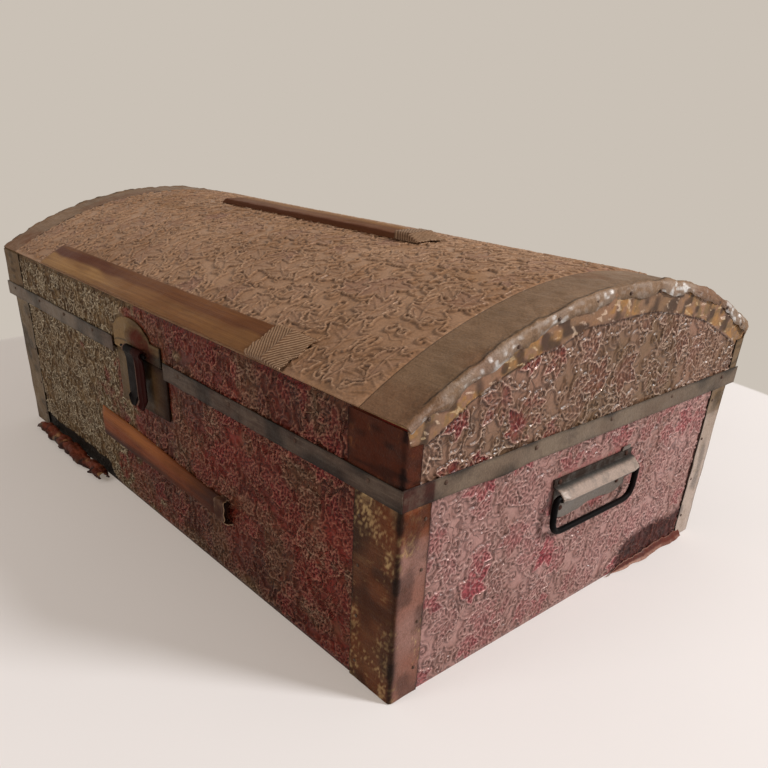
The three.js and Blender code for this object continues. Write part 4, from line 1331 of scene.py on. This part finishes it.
def pressed_cap(node, y, width, thick, flare, lost=0, wider=0):
    """A tin pressed over a slat's right end, with ribs in two leaning panels."""
    turn_to = onto_dome_at(y)
    low, high = corners(node)
    length = high[0] - low[0] - lost
    half = width / 2 + GAP + TIN
    near = -half - wider
    top = thick + GAP + TIN
    first = near - (0.6 if wider else flare)
    section = rounded_path([(first, CAP_RIM), (near, CAP_RIM), (near, top), (half, top), (half, CAP_RIM),
                            (half + flare, CAP_RIM)], 1.6, 0.5)
    seed = 120 + seed_of(node)

    def shape(u, v):
        side, height = follow(section, u)[0]
        along = low[0] + v * length
        lean = np.where(v < 0.5, 1, -1) * side
        phase = (v * length + lean * 0.8) / CAP_RIB
        wave = np.abs(phase - np.round(phase)) * 2
        seam = np.exp(-((v - 0.5) * length / 1.6) ** 2)
        drop = rise(v * length, length * 0.42, length)
        up = height * (1 - drop) + np.minimum(height, TIN + 0.3) * drop
        up = up + (0.7 * wave * (1 - seam) + 1.0 * seam) * rise(np.abs(height), 1, 2)
        up = up + wobble(along, side, 11, seed) * 0.8
        ragged = wobble(side, 0, 5, seed + 1) * 5 * rise(np.abs(v - 0.5), 0.4, 0.5)
        return turn_to(along + ragged, side, np.maximum(up, CAP_LOW)), {
            "bare": rise(wave, 0.55, 0.95) * 0.8, "rust": 0}

    piece = bent_sheet(f"pressed_{node}", int(length / 0.5), 86, shape, CAP_TIN)
    dress(piece, "ribbed cap tin", "lid", "pressed_tin_cap", node)


def torn_cap():
    """What is left of the cap at the lower slat's right end: a ragged sleeve, torn open."""
    low, high = corners("lower_slat_cap")
    half = (high[2] - low[2] - LOWER_NARROWER) / 2
    middle = -LOWER_NARROWER / 2
    top = -HALF_D - low[1]
    section = rounded_path([(-half - 2, CAP_RIM), (-half, CAP_RIM), (-half, top), (half, top),
                            (half, CAP_RIM), (half + 2, CAP_RIM)], 2.2, 0.6)

    def shape(u, v):
        side, height = follow(section, u)[0]
        ragged = wobble(side, height, 5, 131) * 12 * v
        ragged = ragged + wobble(side, height, 6, 132) * 5 * (1 - v)
        along = high[0] - 40 + v * 15 + ragged
        curl = rise(v, 0.6, 1) * 2.2 * soft_noise(side, height, 7, 133)
        up = height * (1 - 0.25 * v) + curl + wobble(along, side, 6, 134) * 0.8
        return onto_front(along, middle + side * (1 + 0.03 * v), np.clip(up, CAP_LOW, top + 2.4)), {
            "bare": 0.9 * np.maximum(rise(v, 0.9, 1.0), fall(v, 0.04, 0.16)),
            "rust": (0.55 + 0.45 * soft_noise(u * 40, v * 22, 7, 135)) * (1 - rise(v, 0.93, 1))}

    piece = bent_sheet("torn_lower_slat_cap", 36, 80, shape, CAP_TIN)
    dress(piece, "ribbed cap tin", "trunk_body", "pressed_tin_cap", "lower_slat_cap")


def add_slat_caps():
    pressed_cap("top_slat_cap", TOP_SLAT_Y, TOP_WIDTH, TOP_THICK, 1.5, lost=TOP_CAP_LOST)
    pressed_cap("front_dome_slat_cap", EDGE_SLAT_Y, EDGE_WIDTH, EDGE_THICK, 2.0, wider=EDGE_WIDER)
    torn_cap()


# Lock and hasp

HASP_LOW, HASP_HIGH = corners("hasp")
PIN_LOW, PIN_HIGH = corners("hasp_pin")
PIN_Y = (PIN_LOW[1] + PIN_HIGH[1]) / 2
PIN_Z = (PIN_LOW[2] + PIN_HIGH[2]) / 2
HASP_FOOT = 131.0    # height of the hasp's foot
HASP_ROLL = 4.9 - 0.7  # radius of its roll, to the middle of the sheet
HASP_WIDER = 3.5     # how much further the hasp reaches to the right than in the CAD
ROUND_FROM = 196     # height at which the lid plate's round top starts, its rise and half its width
ROUND_RISE = 21
ROUND_HALF = 41
SHOULDER_FROM = 22   # where the plate's straight shoulder starts, to the right of the round, and its height
SHOULDER_Z = 201
HUMP = 8.2           # how far the hasp plate bulges over the knuckle, at most: the raised hasp clears it


def lock_front_plate():
    plate = eased_copy("lock_front_plate", "lock_plate", 0.6)
    x = points_of(plate)[:, 0]
    # Dark lines along the plate's two side edges: painted shadow in the gaps.
    painted_gap_shadow = ridge(x - 47.5, 1.5) + 0.5 * ridge(x + 56.5, 1.0)
    mark(plate, bare=0.15, rust=0.45 * rise(x, 16, 40), crease=np.clip(painted_gap_shadow, 0, 1))
    dress(plate, "rusted lock steel", "trunk_body", "lock_steel", "lock_plate")


def lid_hasp_plate():
    """The plate on the lid: round at its top, with a bulge where the hasp's knuckle and pin are."""
    low, high = corners("hasp_plate")
    first, last = low[0], high[0]

    def shape(u, v):
        x = first + u * (last - first)
        dome = ROUND_FROM + ROUND_RISE * np.sqrt(np.clip(1 - ((x - ROUND_X) / ROUND_HALF) ** 2, 0, 1))
        top = np.where(x > SHOULDER_FROM, np.maximum(SHOULDER_Z, dome), dome)
        z = low[2] + v * (top - low[2])
        hump = fall(np.abs(x + 3), 13, 25) * rise(z, 192.6, 193.6) * fall(z, 199, 213)
        dents = 0.5 * wobble(x, z, 14, 181)
        clear = 2.1 + 0.26 * (z - PIN_Z)
        from_edge = np.minimum(np.minimum(x - first, last - x), top - z)
        out = 1.7 + np.minimum(HUMP, clear) * hump + dents * rise(from_edge, 0, 4)
        blotch = np.exp(-((u - 0.66) / 0.17) ** 2) * rise(0.98 - v, 0, 0.3)
        # shade: painted shade at the lower right and along the right edge
        shade = 0.8 * rise(u, 0.68, 0.8) * rise(0.7 - v, 0, 0.3) + 0.9 * rise(u, 0.965, 1.0)
        # bare: the tan left part, and a painted highlight along its lower edge
        return on_side("front", x, z, out, LID_HALF_L, LID_HALF_D), {
            "bare": 0.5 * rise(0.52 - u, 0, 0.3) + 0.5 * ridge(v - 0.02, 0.04) * (u < 0.45),
            "rust": np.clip(1.2 * blotch * (0.6 + 0.5 * soft_noise(u * 105, v * 35, 7, 182)), 0, 1),
            "crease": np.clip(shade + 0.8 * ridge(v - 0.3, 0.03) * (u < 0.4), 0, 1)}

    plate = bent_sheet("lid_hasp_plate", 44, 120, shape, 1.1)
    dress(plate, "rusted lock steel", "lid", "lock_steel", "hasp_plate")


def add_lock():
    lock_front_plate()
    lid_hasp_plate()


def add_hasp():
    """A pressed strap with two ridges, rolled round its pin, with two lobes at its foot for a finger."""
    left, right = HASP_LOW[0], HASP_HIGH[0] + HASP_WIDER
    middle = (left + right) / 2
    half = (right - left) / 2
    path = []
    for turn in np.linspace(170, -55, 20):
        a = math.radians(turn)
        path.append((PIN_Y - HASP_ROLL * math.cos(a), PIN_Z + HASP_ROLL * math.sin(a)))
    front = PIN_Y - 1.0
    path += [(front - 0.4, PIN_Z - 8), (front, PIN_Z - 14), (front, HASP_FOOT + 5), (front - 2.4, HASP_FOOT)]
    path = rounded_path(path, 2.0, 0.5)

    def shape(u, v):
        y, z = follow(path, 1 - v)[0]
        across = u * 2 - 1
        foot = fall(z, HASP_FOOT, HASP_FOOT + 14)
        lobe = np.abs(np.abs(across) - 0.5) / 0.5
        notch = 8.5 * foot * lobe ** 2.5
        ridges = 1.2 * (ridge(across - 0.16, 0.07) + ridge(across - 0.66, 0.07))
        ridges = ridges * fall(z, PIN_Z - 12, PIN_Z - 2) * (1 - 0.6 * foot)
        cup = 0.5 * (across ** 2)
        y = y - ridges * fall(z, PIN_Z - 6, PIN_Z) + cup * fall(z, PIN_Z - 10, PIN_Z)
        rust = rise(z, PIN_Z - 12, PIN_Z - 2) * rise(u, 0.45, 0.58) + 0.75 * rise(u, 0.58, 0.62)
        lines = ridge(across - 0.16, 0.04) + 0.5 * ridge(across - 0.66, 0.03)
        return stacked(middle + across * half * (1 - 0.05 * foot), y, z + notch), {
            "rust": np.clip(rust, 0, 1),
            "bare": 0.5 * lines * rise(0.9 - v, 0, 0.1) + 0.6 * ridge(across + 0.95, 0.05) * (v > 0.8)}

    piece = bent_sheet("pressed_hasp", 90, 60, shape, 1.4)
    catch = catch_block()
    pick(piece, catch)
    bpy.ops.object.join()
    dress(piece, "japanned black steel", "hasp", "black_steel", "hasp")


def catch_block():
    """The catch on the hasp's back, a rounded staple."""
    reach = -HALF_D - 6.4
    path = rounded_path([(PIN_Y + 0.4, 153), (reach, 152.4), (reach, 144.6), (PIN_Y + 0.4, 144)], 2.2, 0.5)

    def shape(u, v):
        (at_x, at_y), (way_x, way_y) = follow(path, v)
        turn = u * 2 * math.pi
        side = np.cos(turn) * 2.6
        lift = np.sin(turn) * 1.3
        return stacked(LOCK_X + side, at_x - way_y * lift, at_y + way_x * lift), {}

    piece = tube("catch", 30, 16, shape)
    mark(piece, rust=0.2, bare=0.3)
    return piece


# Drop handles

HANDLE_LOW, HANDLE_HIGH = corners("handle_plate_right")
BAIL_LOW, BAIL_HIGH = corners("bail_right")
WIRE = 2.8           # radius of the bail's wire
WIRE_IN = 2.6        # how far its middle lies in from the CAD bail's outline
BACK_FOOT = 104.5    # height of the handle's back plate at its foot and its top
BACK_TOP = 142.5


def handle(side):
    """Builds on the right end's sizes, and turns half round for the left one."""
    sign = 1 if side == "right" else -1
    centre_y = (HANDLE_LOW[1] + HANDLE_HIGH[1]) / 2
    half = (HANDLE_HIGH[1] - HANDLE_LOW[1]) / 2
    hood_path = rounded_path([(1.7, 143.6), (1.7, 137.2), (8.6, 135.4), (14.4, 129.6), (14.0, 126.8),
                              (11.0, 125.8)], (0.8, 1.6, 0.7, 0.7), 0.4)

    def put(out, along, z):
        return stacked(sign * (HALF_L + out), sign * (centre_y + along), z)

    def hood(u, v):
        out, z = follow(hood_path, 1 - v)[0]
        along = (u * 2 - 1) * half
        sag = 0.5 * wobble(along, z, 28, 140)
        shut = 1.4 * (rise(np.abs(along), half - 9, half) * rise(out, 3, 9))
        # Darker on the lip's underside and in the corner where it meets the flange: painted shade.
        return put(out + sag * rise(out, 2, 6) - shut, along * (1 - 0.02 * rise(out, 3, 9)), z), {
            "bare": 0.95 * rise(z, 127.0, 128.4) * fall(z, 135.2, 136.6), "rust": 0.7 * rise(z, 136.2, 137.4),
            "crease": 0.7 * fall(z, 126.4, 127.6) + 0.6 * ridge(z - 136.6, 0.7)}

    piece = bent_sheet(f"handle_hood_{side}", 46, 76, hood, 1.2)
    dress(piece, "worn handle steel", "trunk_body", "grey_steel", f"handle_plate_{side}")

    def back(u, v):
        across = u * 2 - 1
        along = across * (half - 3)
        foot = BACK_FOOT + 3 * rise(np.abs(across), 0.75, 1) ** 2 + 5 * wobble(along, 0, 17, 141)
        tab = 4.5 * rise(along * sign, half - 16, half - 14)
        z = foot + v * (BACK_TOP + tab - foot)
        return put(1.6 + 0.2 * wobble(along, z, 20, 142), along, z), {"bare": 0.25, "rust": 0.15}

    piece = bent_sheet(f"handle_back_{side}", 22, 90, back, 1.1)
    dress(piece, "worn handle steel", "trunk_body", "grey_steel")

    top, low = BAIL_HIGH[2] - WIRE_IN, BAIL_LOW[2] + WIRE_IN
    reach = (BAIL_HIGH[1] - BAIL_LOW[1]) / 2 - WIRE_IN
    bail_out = (BAIL_LOW[0] + BAIL_HIGH[0]) / 2 - HALF_L
    loop = [(0, top), (reach, top), (reach - 0.6, low), (-reach + 0.6, low), (-reach, top), (0, top)]
    ring = rounded_path(loop, (6, 15, 15, 6), 0.8)

    def bail(u, v):
        (at_x, at_y), (way_x, way_y) = follow(ring, v)
        turn = -u * 2 * math.pi
        across = np.cos(turn) * WIRE
        return put(bail_out + np.sin(turn) * WIRE, at_x - way_y * across, at_y + way_x * across), {}

    piece = tube(f"bail_wire_{side}", 260, 18, bail, ring=True)
    dress(piece, "japanned black steel", f"bail_{side}", "black_steel", f"bail_{side}")

    rivets = [(put(1.9, along, z), (sign, 0, 0)) for along, z in (
        (-half + 7, 140.4), (half - 9, 140.4), (-half + 14, 114), (half - 16, 115))]
    nail_group(f"handle_rivets_{side}", rivets, "japanned black steel", "trunk_body", "grey_steel", 2.3)


def add_handles():
    for side in ("right", "left"):
        handle(side)


def add_hinges():
    for side in ("left", "right"):
        for part, body in BODIES.items():
            node = f"hinge_{part}_leaf_{side}"
            piece = eased_copy(f"steel_{node}", node, 0.35)
            mark(piece, bare=0.2, rust=0.3)
            dress(piece, "grey band steel", body, "steel", node)


# Torn tin at the foot

STRIP_LOW, STRIP_HIGH = corners("torn_base_strip")


def torn_foot_strip():
    """The length of tin torn off the front's foot, a crumpled gutter that stands before it."""
    start, end = STRIP_LOW[0], STRIP_HIGH[0]
    near, far = STRIP_LOW[1], STRIP_HIGH[1]
    gutter = rounded_path([(far - 1, 1), (far - 2, 12), (far - (far - near) * 0.45, 15.5), (near + 3.5, 11),
                           (near + 1.5, 4)], 3.0, 0.5)
    middle_y, middle_z = (near + far) / 2, 1.0

    def shape(u, v):
        (at_x, at_y), (way_x, way_y) = follow(gutter, v)
        run = u * (end - start)
        ends = np.exp(-((u - 1) / 0.06) ** 2) + np.exp(-(u / 0.05) ** 2)
        size = 0.74 + 0.42 * soft_noise(run, 0, 34, 152) - 0.45 * ends
        fold = 0.5 - np.abs(wobble(run + v * 30, v * 28, 15, 150)) * 2.4
        crumple = fold * 7 + wobble(run, v * 40, 4, 151) * 2.6
        y = middle_y + (at_x - middle_y) * size + way_y * crumple
        z = middle_z + (at_y - middle_z) * size - way_x * crumple * 0.8
        z = z + 3 * ends * soft_noise(run, v * 9, 5, 155)
        shift = 3 * wobble(run, 0, 45, 156)
        tongue = 26 * wobble(0, v * 34, 5, 159)
        x = start + run - tongue * np.exp(-(u / 0.09) ** 2) + 0.6 * tongue * np.exp(-((u - 1) / 0.06) ** 2)
        a, b = u * 220, v * 28
        edges = 0.9 * rise(v, 0.62, 0.95) + 0.9 * fall(v, 0.12, 0.3)
        x = np.clip(x, start - 6, end + 6)
        return stacked(x, np.clip(y + shift, near, far + 3), np.clip(z, 0.7, STRIP_HIGH[2])), {
            "bare": 0.9 * patchy(a, b, 9, 157, 0.66, 0.85) * rise(v, 0.3, 0.6),
            "rust": 0.7 * soft_noise(a, v * 15, 18, 154),
            "crease": np.clip(edges + 0.6 * patchy(a, b, 7, 158, 0.6, 0.8), 0, 1)}

    piece = bent_sheet("torn_foot_strip", 40, 190, shape, 0.9)
    dress(piece, "crumpled rusty tin", "trunk_body", "torn_tin", "torn_base_strip")


FLAP_FROM = 66       # mm along the right end where its foot is torn and bent out, and how far
FLAP_TO = 204


def torn_end_flap():
    def shape(u, v):
        y = FLAP_FROM + u * (FLAP_TO - FLAP_FROM)
        open_out = rise(u, 0, 0.25) * (1 - 0.3 * rise(u, 0.9, 1))
        edge = 5 + 5 * soft_noise(y, 0, 15, 160) + 2.5 * wobble(y, 0, 4, 161)
        z = 0.9 + v * edge * open_out + 0.8 * soft_noise(y, v * 9, 9, 162)
        bent = 6.5 * open_out * (1 - v) * (0.45 + 0.55 * soft_noise(y, v * 9, 18, 163))
        return on_side("right", y, z, 1.4 + bent + 0.6 * soft_noise(y, z, 5, 164), HALF_L, HALF_D), {
            "bare": np.clip(0.9 * rise(1 - v, 0.5, 0.8) + 0.8 * rise(v, 0.85, 1.0), 0, 1),
            "rust": 0.3 + 0.3 * u}

    piece = bent_sheet("torn_end_flap", 12, 120, shape, 0.7)
    dress(piece, "dark torn tin", "trunk_body", "torn_tin")


def add_torn_tin():
    torn_foot_strip()
    torn_end_flap()


# Nails

HEAD_STEPS = ((0.28, 0.94), (0.24, 0.72), (0.12, 0.60))    # how far up a nail head goes, and how much smaller
BAND_NAILS = {"front": (-352, -268, -190, -110, 80, 168, 262, 346), "end": (-190, -92, 8, 104, 198)}
CORNER_NAILS = (18, 62, 108, 150)    # heights
FLANGE_NAILS = 11
FLANGE_SPAN = 0.93   # how much of the dome's turn they take up


def nail_head():
    """One domed nail head of radius 1 lying on z = 0."""
    deselect()
    bpy.ops.mesh.primitive_circle_add(vertices=12, radius=1, fill_type="NGON")
    piece = bpy.context.object
    edit(piece)
    for lift, size in HEAD_STEPS:
        bpy.ops.mesh.extrude_region_move(TRANSFORM_OT_translate={"value": (0, 0, lift)})
        bpy.ops.transform.resize(value=(size, size, 1), center_override=(0, 0, 0))
    bpy.ops.mesh.select_all(action="DESELECT")
    bpy.ops.mesh.select_non_manifold(extend=False, use_multi_face=False, use_non_contiguous=False,
                                     use_verts=False)
    bpy.ops.mesh.edge_face_add()
    bpy.ops.mesh.select_all(action="SELECT")
    bpy.ops.mesh.normals_make_consistent(inside=False)
    leave_edit()
    return piece


def nail_group(name, spots, material, body, slot, radius):
    """Copies of a nail head at spots, each a place and the direction that it faces."""
    head = nail_head()
    shape = np.array([v.co for v in head.data.vertices])
    faces = [list(p.vertices) for p in head.data.polygons]
    points = []
    copies = []
    for k, (place, facing) in enumerate(spots):
        turn = Vector(facing).to_track_quat("Z", "Y").to_matrix()
        points.append(np.array(place) + (shape * radius * (1, 1, 0.8)) @ np.array(turn).T)
        copies.extend([[index + k * len(shape) for index in face] for face in faces])
    bpy.data.objects.remove(head)
    mesh = bpy.data.meshes.new(name)
    mesh.from_pydata((np.concatenate(points) * MM).tolist(), [], copies)
    piece = bpy.data.objects.new(name, mesh)
    bpy.context.scene.collection.objects.link(piece)
    mark(piece, bare=0.3, rust=0.4)
    smooth(piece, 50)
    dress(piece, material, body, slot)


def add_nails():
    radius = sizes().nail / MM
    out_y = -corners("lid_band_front_right")[0][1] - 0.1
    out_x = max(abs(BAND_LOW[0]), abs(BAND_HIGH[0])) - 0.1
    z = (BAND_LOW[2] + BAND_HIGH[2]) / 2 + 3
    spots = [((x, -out_y, z), (0, -1, 0)) for x in BAND_NAILS["front"]]
    for y in BAND_NAILS["end"]:
        spots += [((out_x, y, z), (1, 0, 0)), ((-out_x, -y, z), (-1, 0, 0))]
    nail_group("band_nails", spots, "grey band steel", "lid", "steel", radius)
    spots = []
    flange_foot = 3.5 - sizes().flange / MM
    for side in (-1, 1):
        for k in range(FLANGE_NAILS):
            angle = -DOME_TURN * FLANGE_SPAN + 2 * DOME_TURN * FLANGE_SPAN * k / (FLANGE_NAILS - 1)
            out = flange_foot + 1.5 * math.sin(5.0 * k)
            spots.append((on_dome(side * (LID_HALF_L + LAP + 0.7), angle, out), (side, 0, 0)))
    nail_group("flange_nails", spots, "grey band steel", "lid", "steel", radius * 0.85)
    spots = []
    out_x, out_y = HALF_L + LAP, HALF_D + LAP
    for sx in (-1, 1):
        for sy in (-1, 1):
            for z in CORNER_NAILS:
                spots += [((sx * (out_x - 42), sy * (out_y + 0.1), z), (0, sy, 0)),
                          ((sx * (out_x + 0.1), sy * (out_y - 24), z + 8), (sx, 0, 0))]
    nail_group("corner_nails", spots, "grey band steel", "trunk_body", "steel", radius * 0.75)


def finish_boards():
    """Bare pine inside, and dark steel for the lock's case and the pins, on the CAD's own solids."""
    for name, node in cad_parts.items():
        if "board" in name or "stave" in name:
            material = finish("pine_along_y" if "end_board" in name else "pine_along_x")
        elif name in ("lock_case", "hasp_pin", "hinge_pin_left", "hinge_pin_right"):
            material = finish("japanned black steel")
        else:
            continue
        node.data.materials.clear()
        node.data.materials.append(material)


# Stage

CAMERA_PLACE = (682.704, -530.906, 406.673)
CAMERA_AIM = (-0.846759, -0.503015, 0.0376007)       # heading from +Y to the right, tilt and roll, in radians
FOCAL_PIXELS = 743.34
FRAME_PIXELS = 768
VIEW_SHIFT = (0.026, 0.169)
SENSOR = 36.0
SHADOW_LIFT = 0.3      # how much the floor's shadow is lightened for the camera
SHADOW_TINT = paint(214, 199, 182)
FLOOR_SIZE = 14        # metres
FLOOR_REACH = 0.80     # metres from the trunk's middle at which the floor passes into the backdrop
FLOOR_SOFT = 0.008     # metres over which it passes
FLOOR_SHADE = 0.93     # how dark the floor's mottling is at most
SKY = paint(250, 240, 230)
SKY_STRENGTH = 0.44


def add_camera():
    heading, tilt, roll = CAMERA_AIM
    look = Vector((math.sin(heading) * math.cos(tilt), math.cos(heading) * math.cos(tilt), math.sin(tilt)))
    right = look.cross(Vector((0, 0, 1))).normalized()
    up = right.cross(look)
    side = right * math.cos(roll) + up * math.sin(roll)
    top = up * math.cos(roll) - right * math.sin(roll)
    camera = bpy.data.objects.new("camera", bpy.data.cameras.new("camera"))
    bpy.context.scene.collection.objects.link(camera)
    turn = Matrix((side, top, -look)).transposed().to_4x4()
    camera.matrix_world = Matrix.Translation(Vector(CAMERA_PLACE) * MM) @ turn
    camera.data.sensor_width = SENSOR
    camera.data.lens = SENSOR * FOCAL_PIXELS / FRAME_PIXELS
    camera.data.shift_x, camera.data.shift_y = VIEW_SHIFT
    bpy.context.scene.camera = camera


def add_lamp(name, place, size, power, tint):
    """A round lamp, in metres and watts, aimed at the trunk."""
    lamp = bpy.data.lights.new(name, "AREA")
    lamp.shape = "DISK"
    lamp.size = size
    lamp.energy = power
    lamp.color = tint
    holder = bpy.data.objects.new(name, lamp)
    bpy.context.scene.collection.objects.link(holder)
    holder.location = place
    holder.rotation_euler = (Vector((0, 0, 0.15)) - Vector(place)).to_track_quat("-Z", "Y").to_euler()


def seen_directly(tree):
    """1 for what the camera sees, also in metal and through glass, and 0 for what only lights the trunk."""
    rays = add_node(tree, "ShaderNodeLightPath").outputs
    shown = larger(Signal(rays["Is Camera Ray"]), Signal(rays["Is Glossy Ray"]))
    return larger(shown, Signal(rays["Is Transmission Ray"]))


def flat_light(tree, kind, colour, strength=1.0):
    """An even light of one colour, from a surface or from the world."""
    return Signal(add_node(tree, kind, {"Color": colour, "Strength": strength}).outputs[0])


def mixed_light(share, first, second):
    return result("ShaderNodeMixShader", {0: share, 1: first, 2: second})


def add_floor():
    deselect()
    bpy.ops.mesh.primitive_plane_add(size=FLOOR_SIZE, location=(0, 0, 0))
    floor = bpy.context.object
    floor.name = "floor"
    material = bpy.data.materials.new("pale cloth floor")
    material.use_nodes = True
    tree = material.node_tree
    tree.nodes.clear()
    where = object_places(tree)
    pale = tuple(colours().floor)
    shaded = (*(channel * FLOOR_SHADE for channel in pale[:3]), 1.0)
    colour = mix(spread(noise(where, 3.0), 0.3, 0.7, 0.0, 0.3), pale, shaded)
    surface = result("ShaderNodeBsdfPrincipled", {"Base Color": colour, "Roughness": 0.9})
    shown = seen_directly(tree)
    far = result("ShaderNodeVectorMath", {0: where}, "Value", operation="LENGTH")
    past = spread(far, FLOOR_REACH, FLOOR_REACH + FLOOR_SOFT) * shown
    lifted = mixed_light(shown * SHADOW_LIFT, surface, flat_light(tree, "ShaderNodeEmission", SHADOW_TINT))
    backdrop = flat_light(tree, "ShaderNodeEmission", tuple(colours().wall))
    add_node(tree, "ShaderNodeOutputMaterial", {"Surface": mixed_light(past, lifted, backdrop)})
    floor.data.materials.append(material)


def add_world():
    world = bpy.data.worlds.new("studio")
    world.use_nodes = True
    tree = world.node_tree
    tree.nodes.clear()
    light = flat_light(tree, "ShaderNodeBackground", SKY, SKY_STRENGTH)
    seen = flat_light(tree, "ShaderNodeBackground", tuple(colours().wall))
    add_node(tree, "ShaderNodeOutputWorld", {"Surface": mixed_light(seen_directly(tree), light, seen)})
    bpy.context.scene.world = world


def add_stage():
    add_camera()
    add_floor()
    add_world()
    add_lamp("key", (2.7, 1.5, 2.1), 0.8, 128, (1.0, 0.995, 0.99))
    add_lamp("fill", (-0.4, -2.8, 1.7), 1.2, 22, (1.0, 0.98, 0.96))
    bpy.context.scene.view_settings.view_transform = "Standard"


# Operators, one for the stage and one for each group of pieces

def operator(name, label, words, build):
    """An operator class whose execute calls build."""

    def execute(self, context):
        build()
        return {"FINISHED"}

    return type(name, (bpy.types.Operator,), {
        "__doc__": words, "bl_idname": "trunk." + label.lower().replace(" ", "_"), "bl_label": label,
        "bl_options": {"REGISTER", "UNDO"}, "execute": execute})


OPERATORS = [
    operator("TRUNK_OT_stage", "Add stage", "Adds the floor, lights and camera", add_stage),
    operator("TRUNK_OT_boards", "Finish boards",
             "Gives the pine boards and the pins their finish", finish_boards),
    operator("TRUNK_OT_tins", "Add embossed tins", "Models the nine pressed tins", add_embossed_tins),
    operator("TRUNK_OT_corners", "Add corner tins",
             "Models the plain tins round the corners", add_corner_tins),
    operator("TRUNK_OT_strips", "Add dome strips", "Models the strips with a crumpled fold", add_dome_strips),
    operator("TRUNK_OT_bands", "Add bands", "Models the steel band's four lengths", add_bands),
    operator("TRUNK_OT_slats", "Add slats", "Models the four wooden slats", add_slats),
    operator("TRUNK_OT_caps", "Add slat caps", "Models the pressed and torn caps", add_slat_caps),
    operator("TRUNK_OT_lock", "Add lock", "Models the lock's plates", add_lock),
    operator("TRUNK_OT_hasp", "Add hasp", "Models the hasp and its catch", add_hasp),
    operator("TRUNK_OT_handles", "Add handles", "Models both drop handles", add_handles),
    operator("TRUNK_OT_hinges", "Add hinges", "Models the hinge leaves", add_hinges),
    operator("TRUNK_OT_torn", "Add torn tin", "Models the torn tin at the foot", add_torn_tin),
    operator("TRUNK_OT_nails", "Add nails", "Adds the nails", add_nails),
]


class TRUNK_PT_panel(bpy.types.Panel):
    """Lists the trunk's settings and steps in the sidebar."""
    bl_idname = "TRUNK_PT_panel"
    bl_label = "Dome top trunk"
    bl_space_type = "VIEW_3D"
    bl_region_type = "UI"
    bl_category = "Trunk"

    def draw(self, context):
        for group in (context.scene.trunk_sizes, context.scene.trunk_colours):
            column = self.layout.column()
            for key in group.bl_rna.properties.keys():
                if key not in ("rna_type", "name"):
                    column.prop(group, key)
        for step in OPERATORS:
            self.layout.operator(step.bl_idname)


CLASSES = [TrunkSizes, TrunkColours, *OPERATORS, TRUNK_PT_panel]


def register():
    for item in CLASSES:
        bpy.utils.register_class(item)
    bpy.types.Scene.trunk_sizes = bpy.props.PointerProperty(type=TrunkSizes)
    bpy.types.Scene.trunk_colours = bpy.props.PointerProperty(type=TrunkColours)


def unregister():
    del bpy.types.Scene.trunk_colours
    del bpy.types.Scene.trunk_sizes
    for item in reversed(CLASSES):
        bpy.utils.unregister_class(item)


def main():
    register()
    for step in OPERATORS:
        group, name = step.bl_idname.split(".")
        getattr(getattr(bpy.ops, group), name)()


if __name__ == "__main__":
    main()
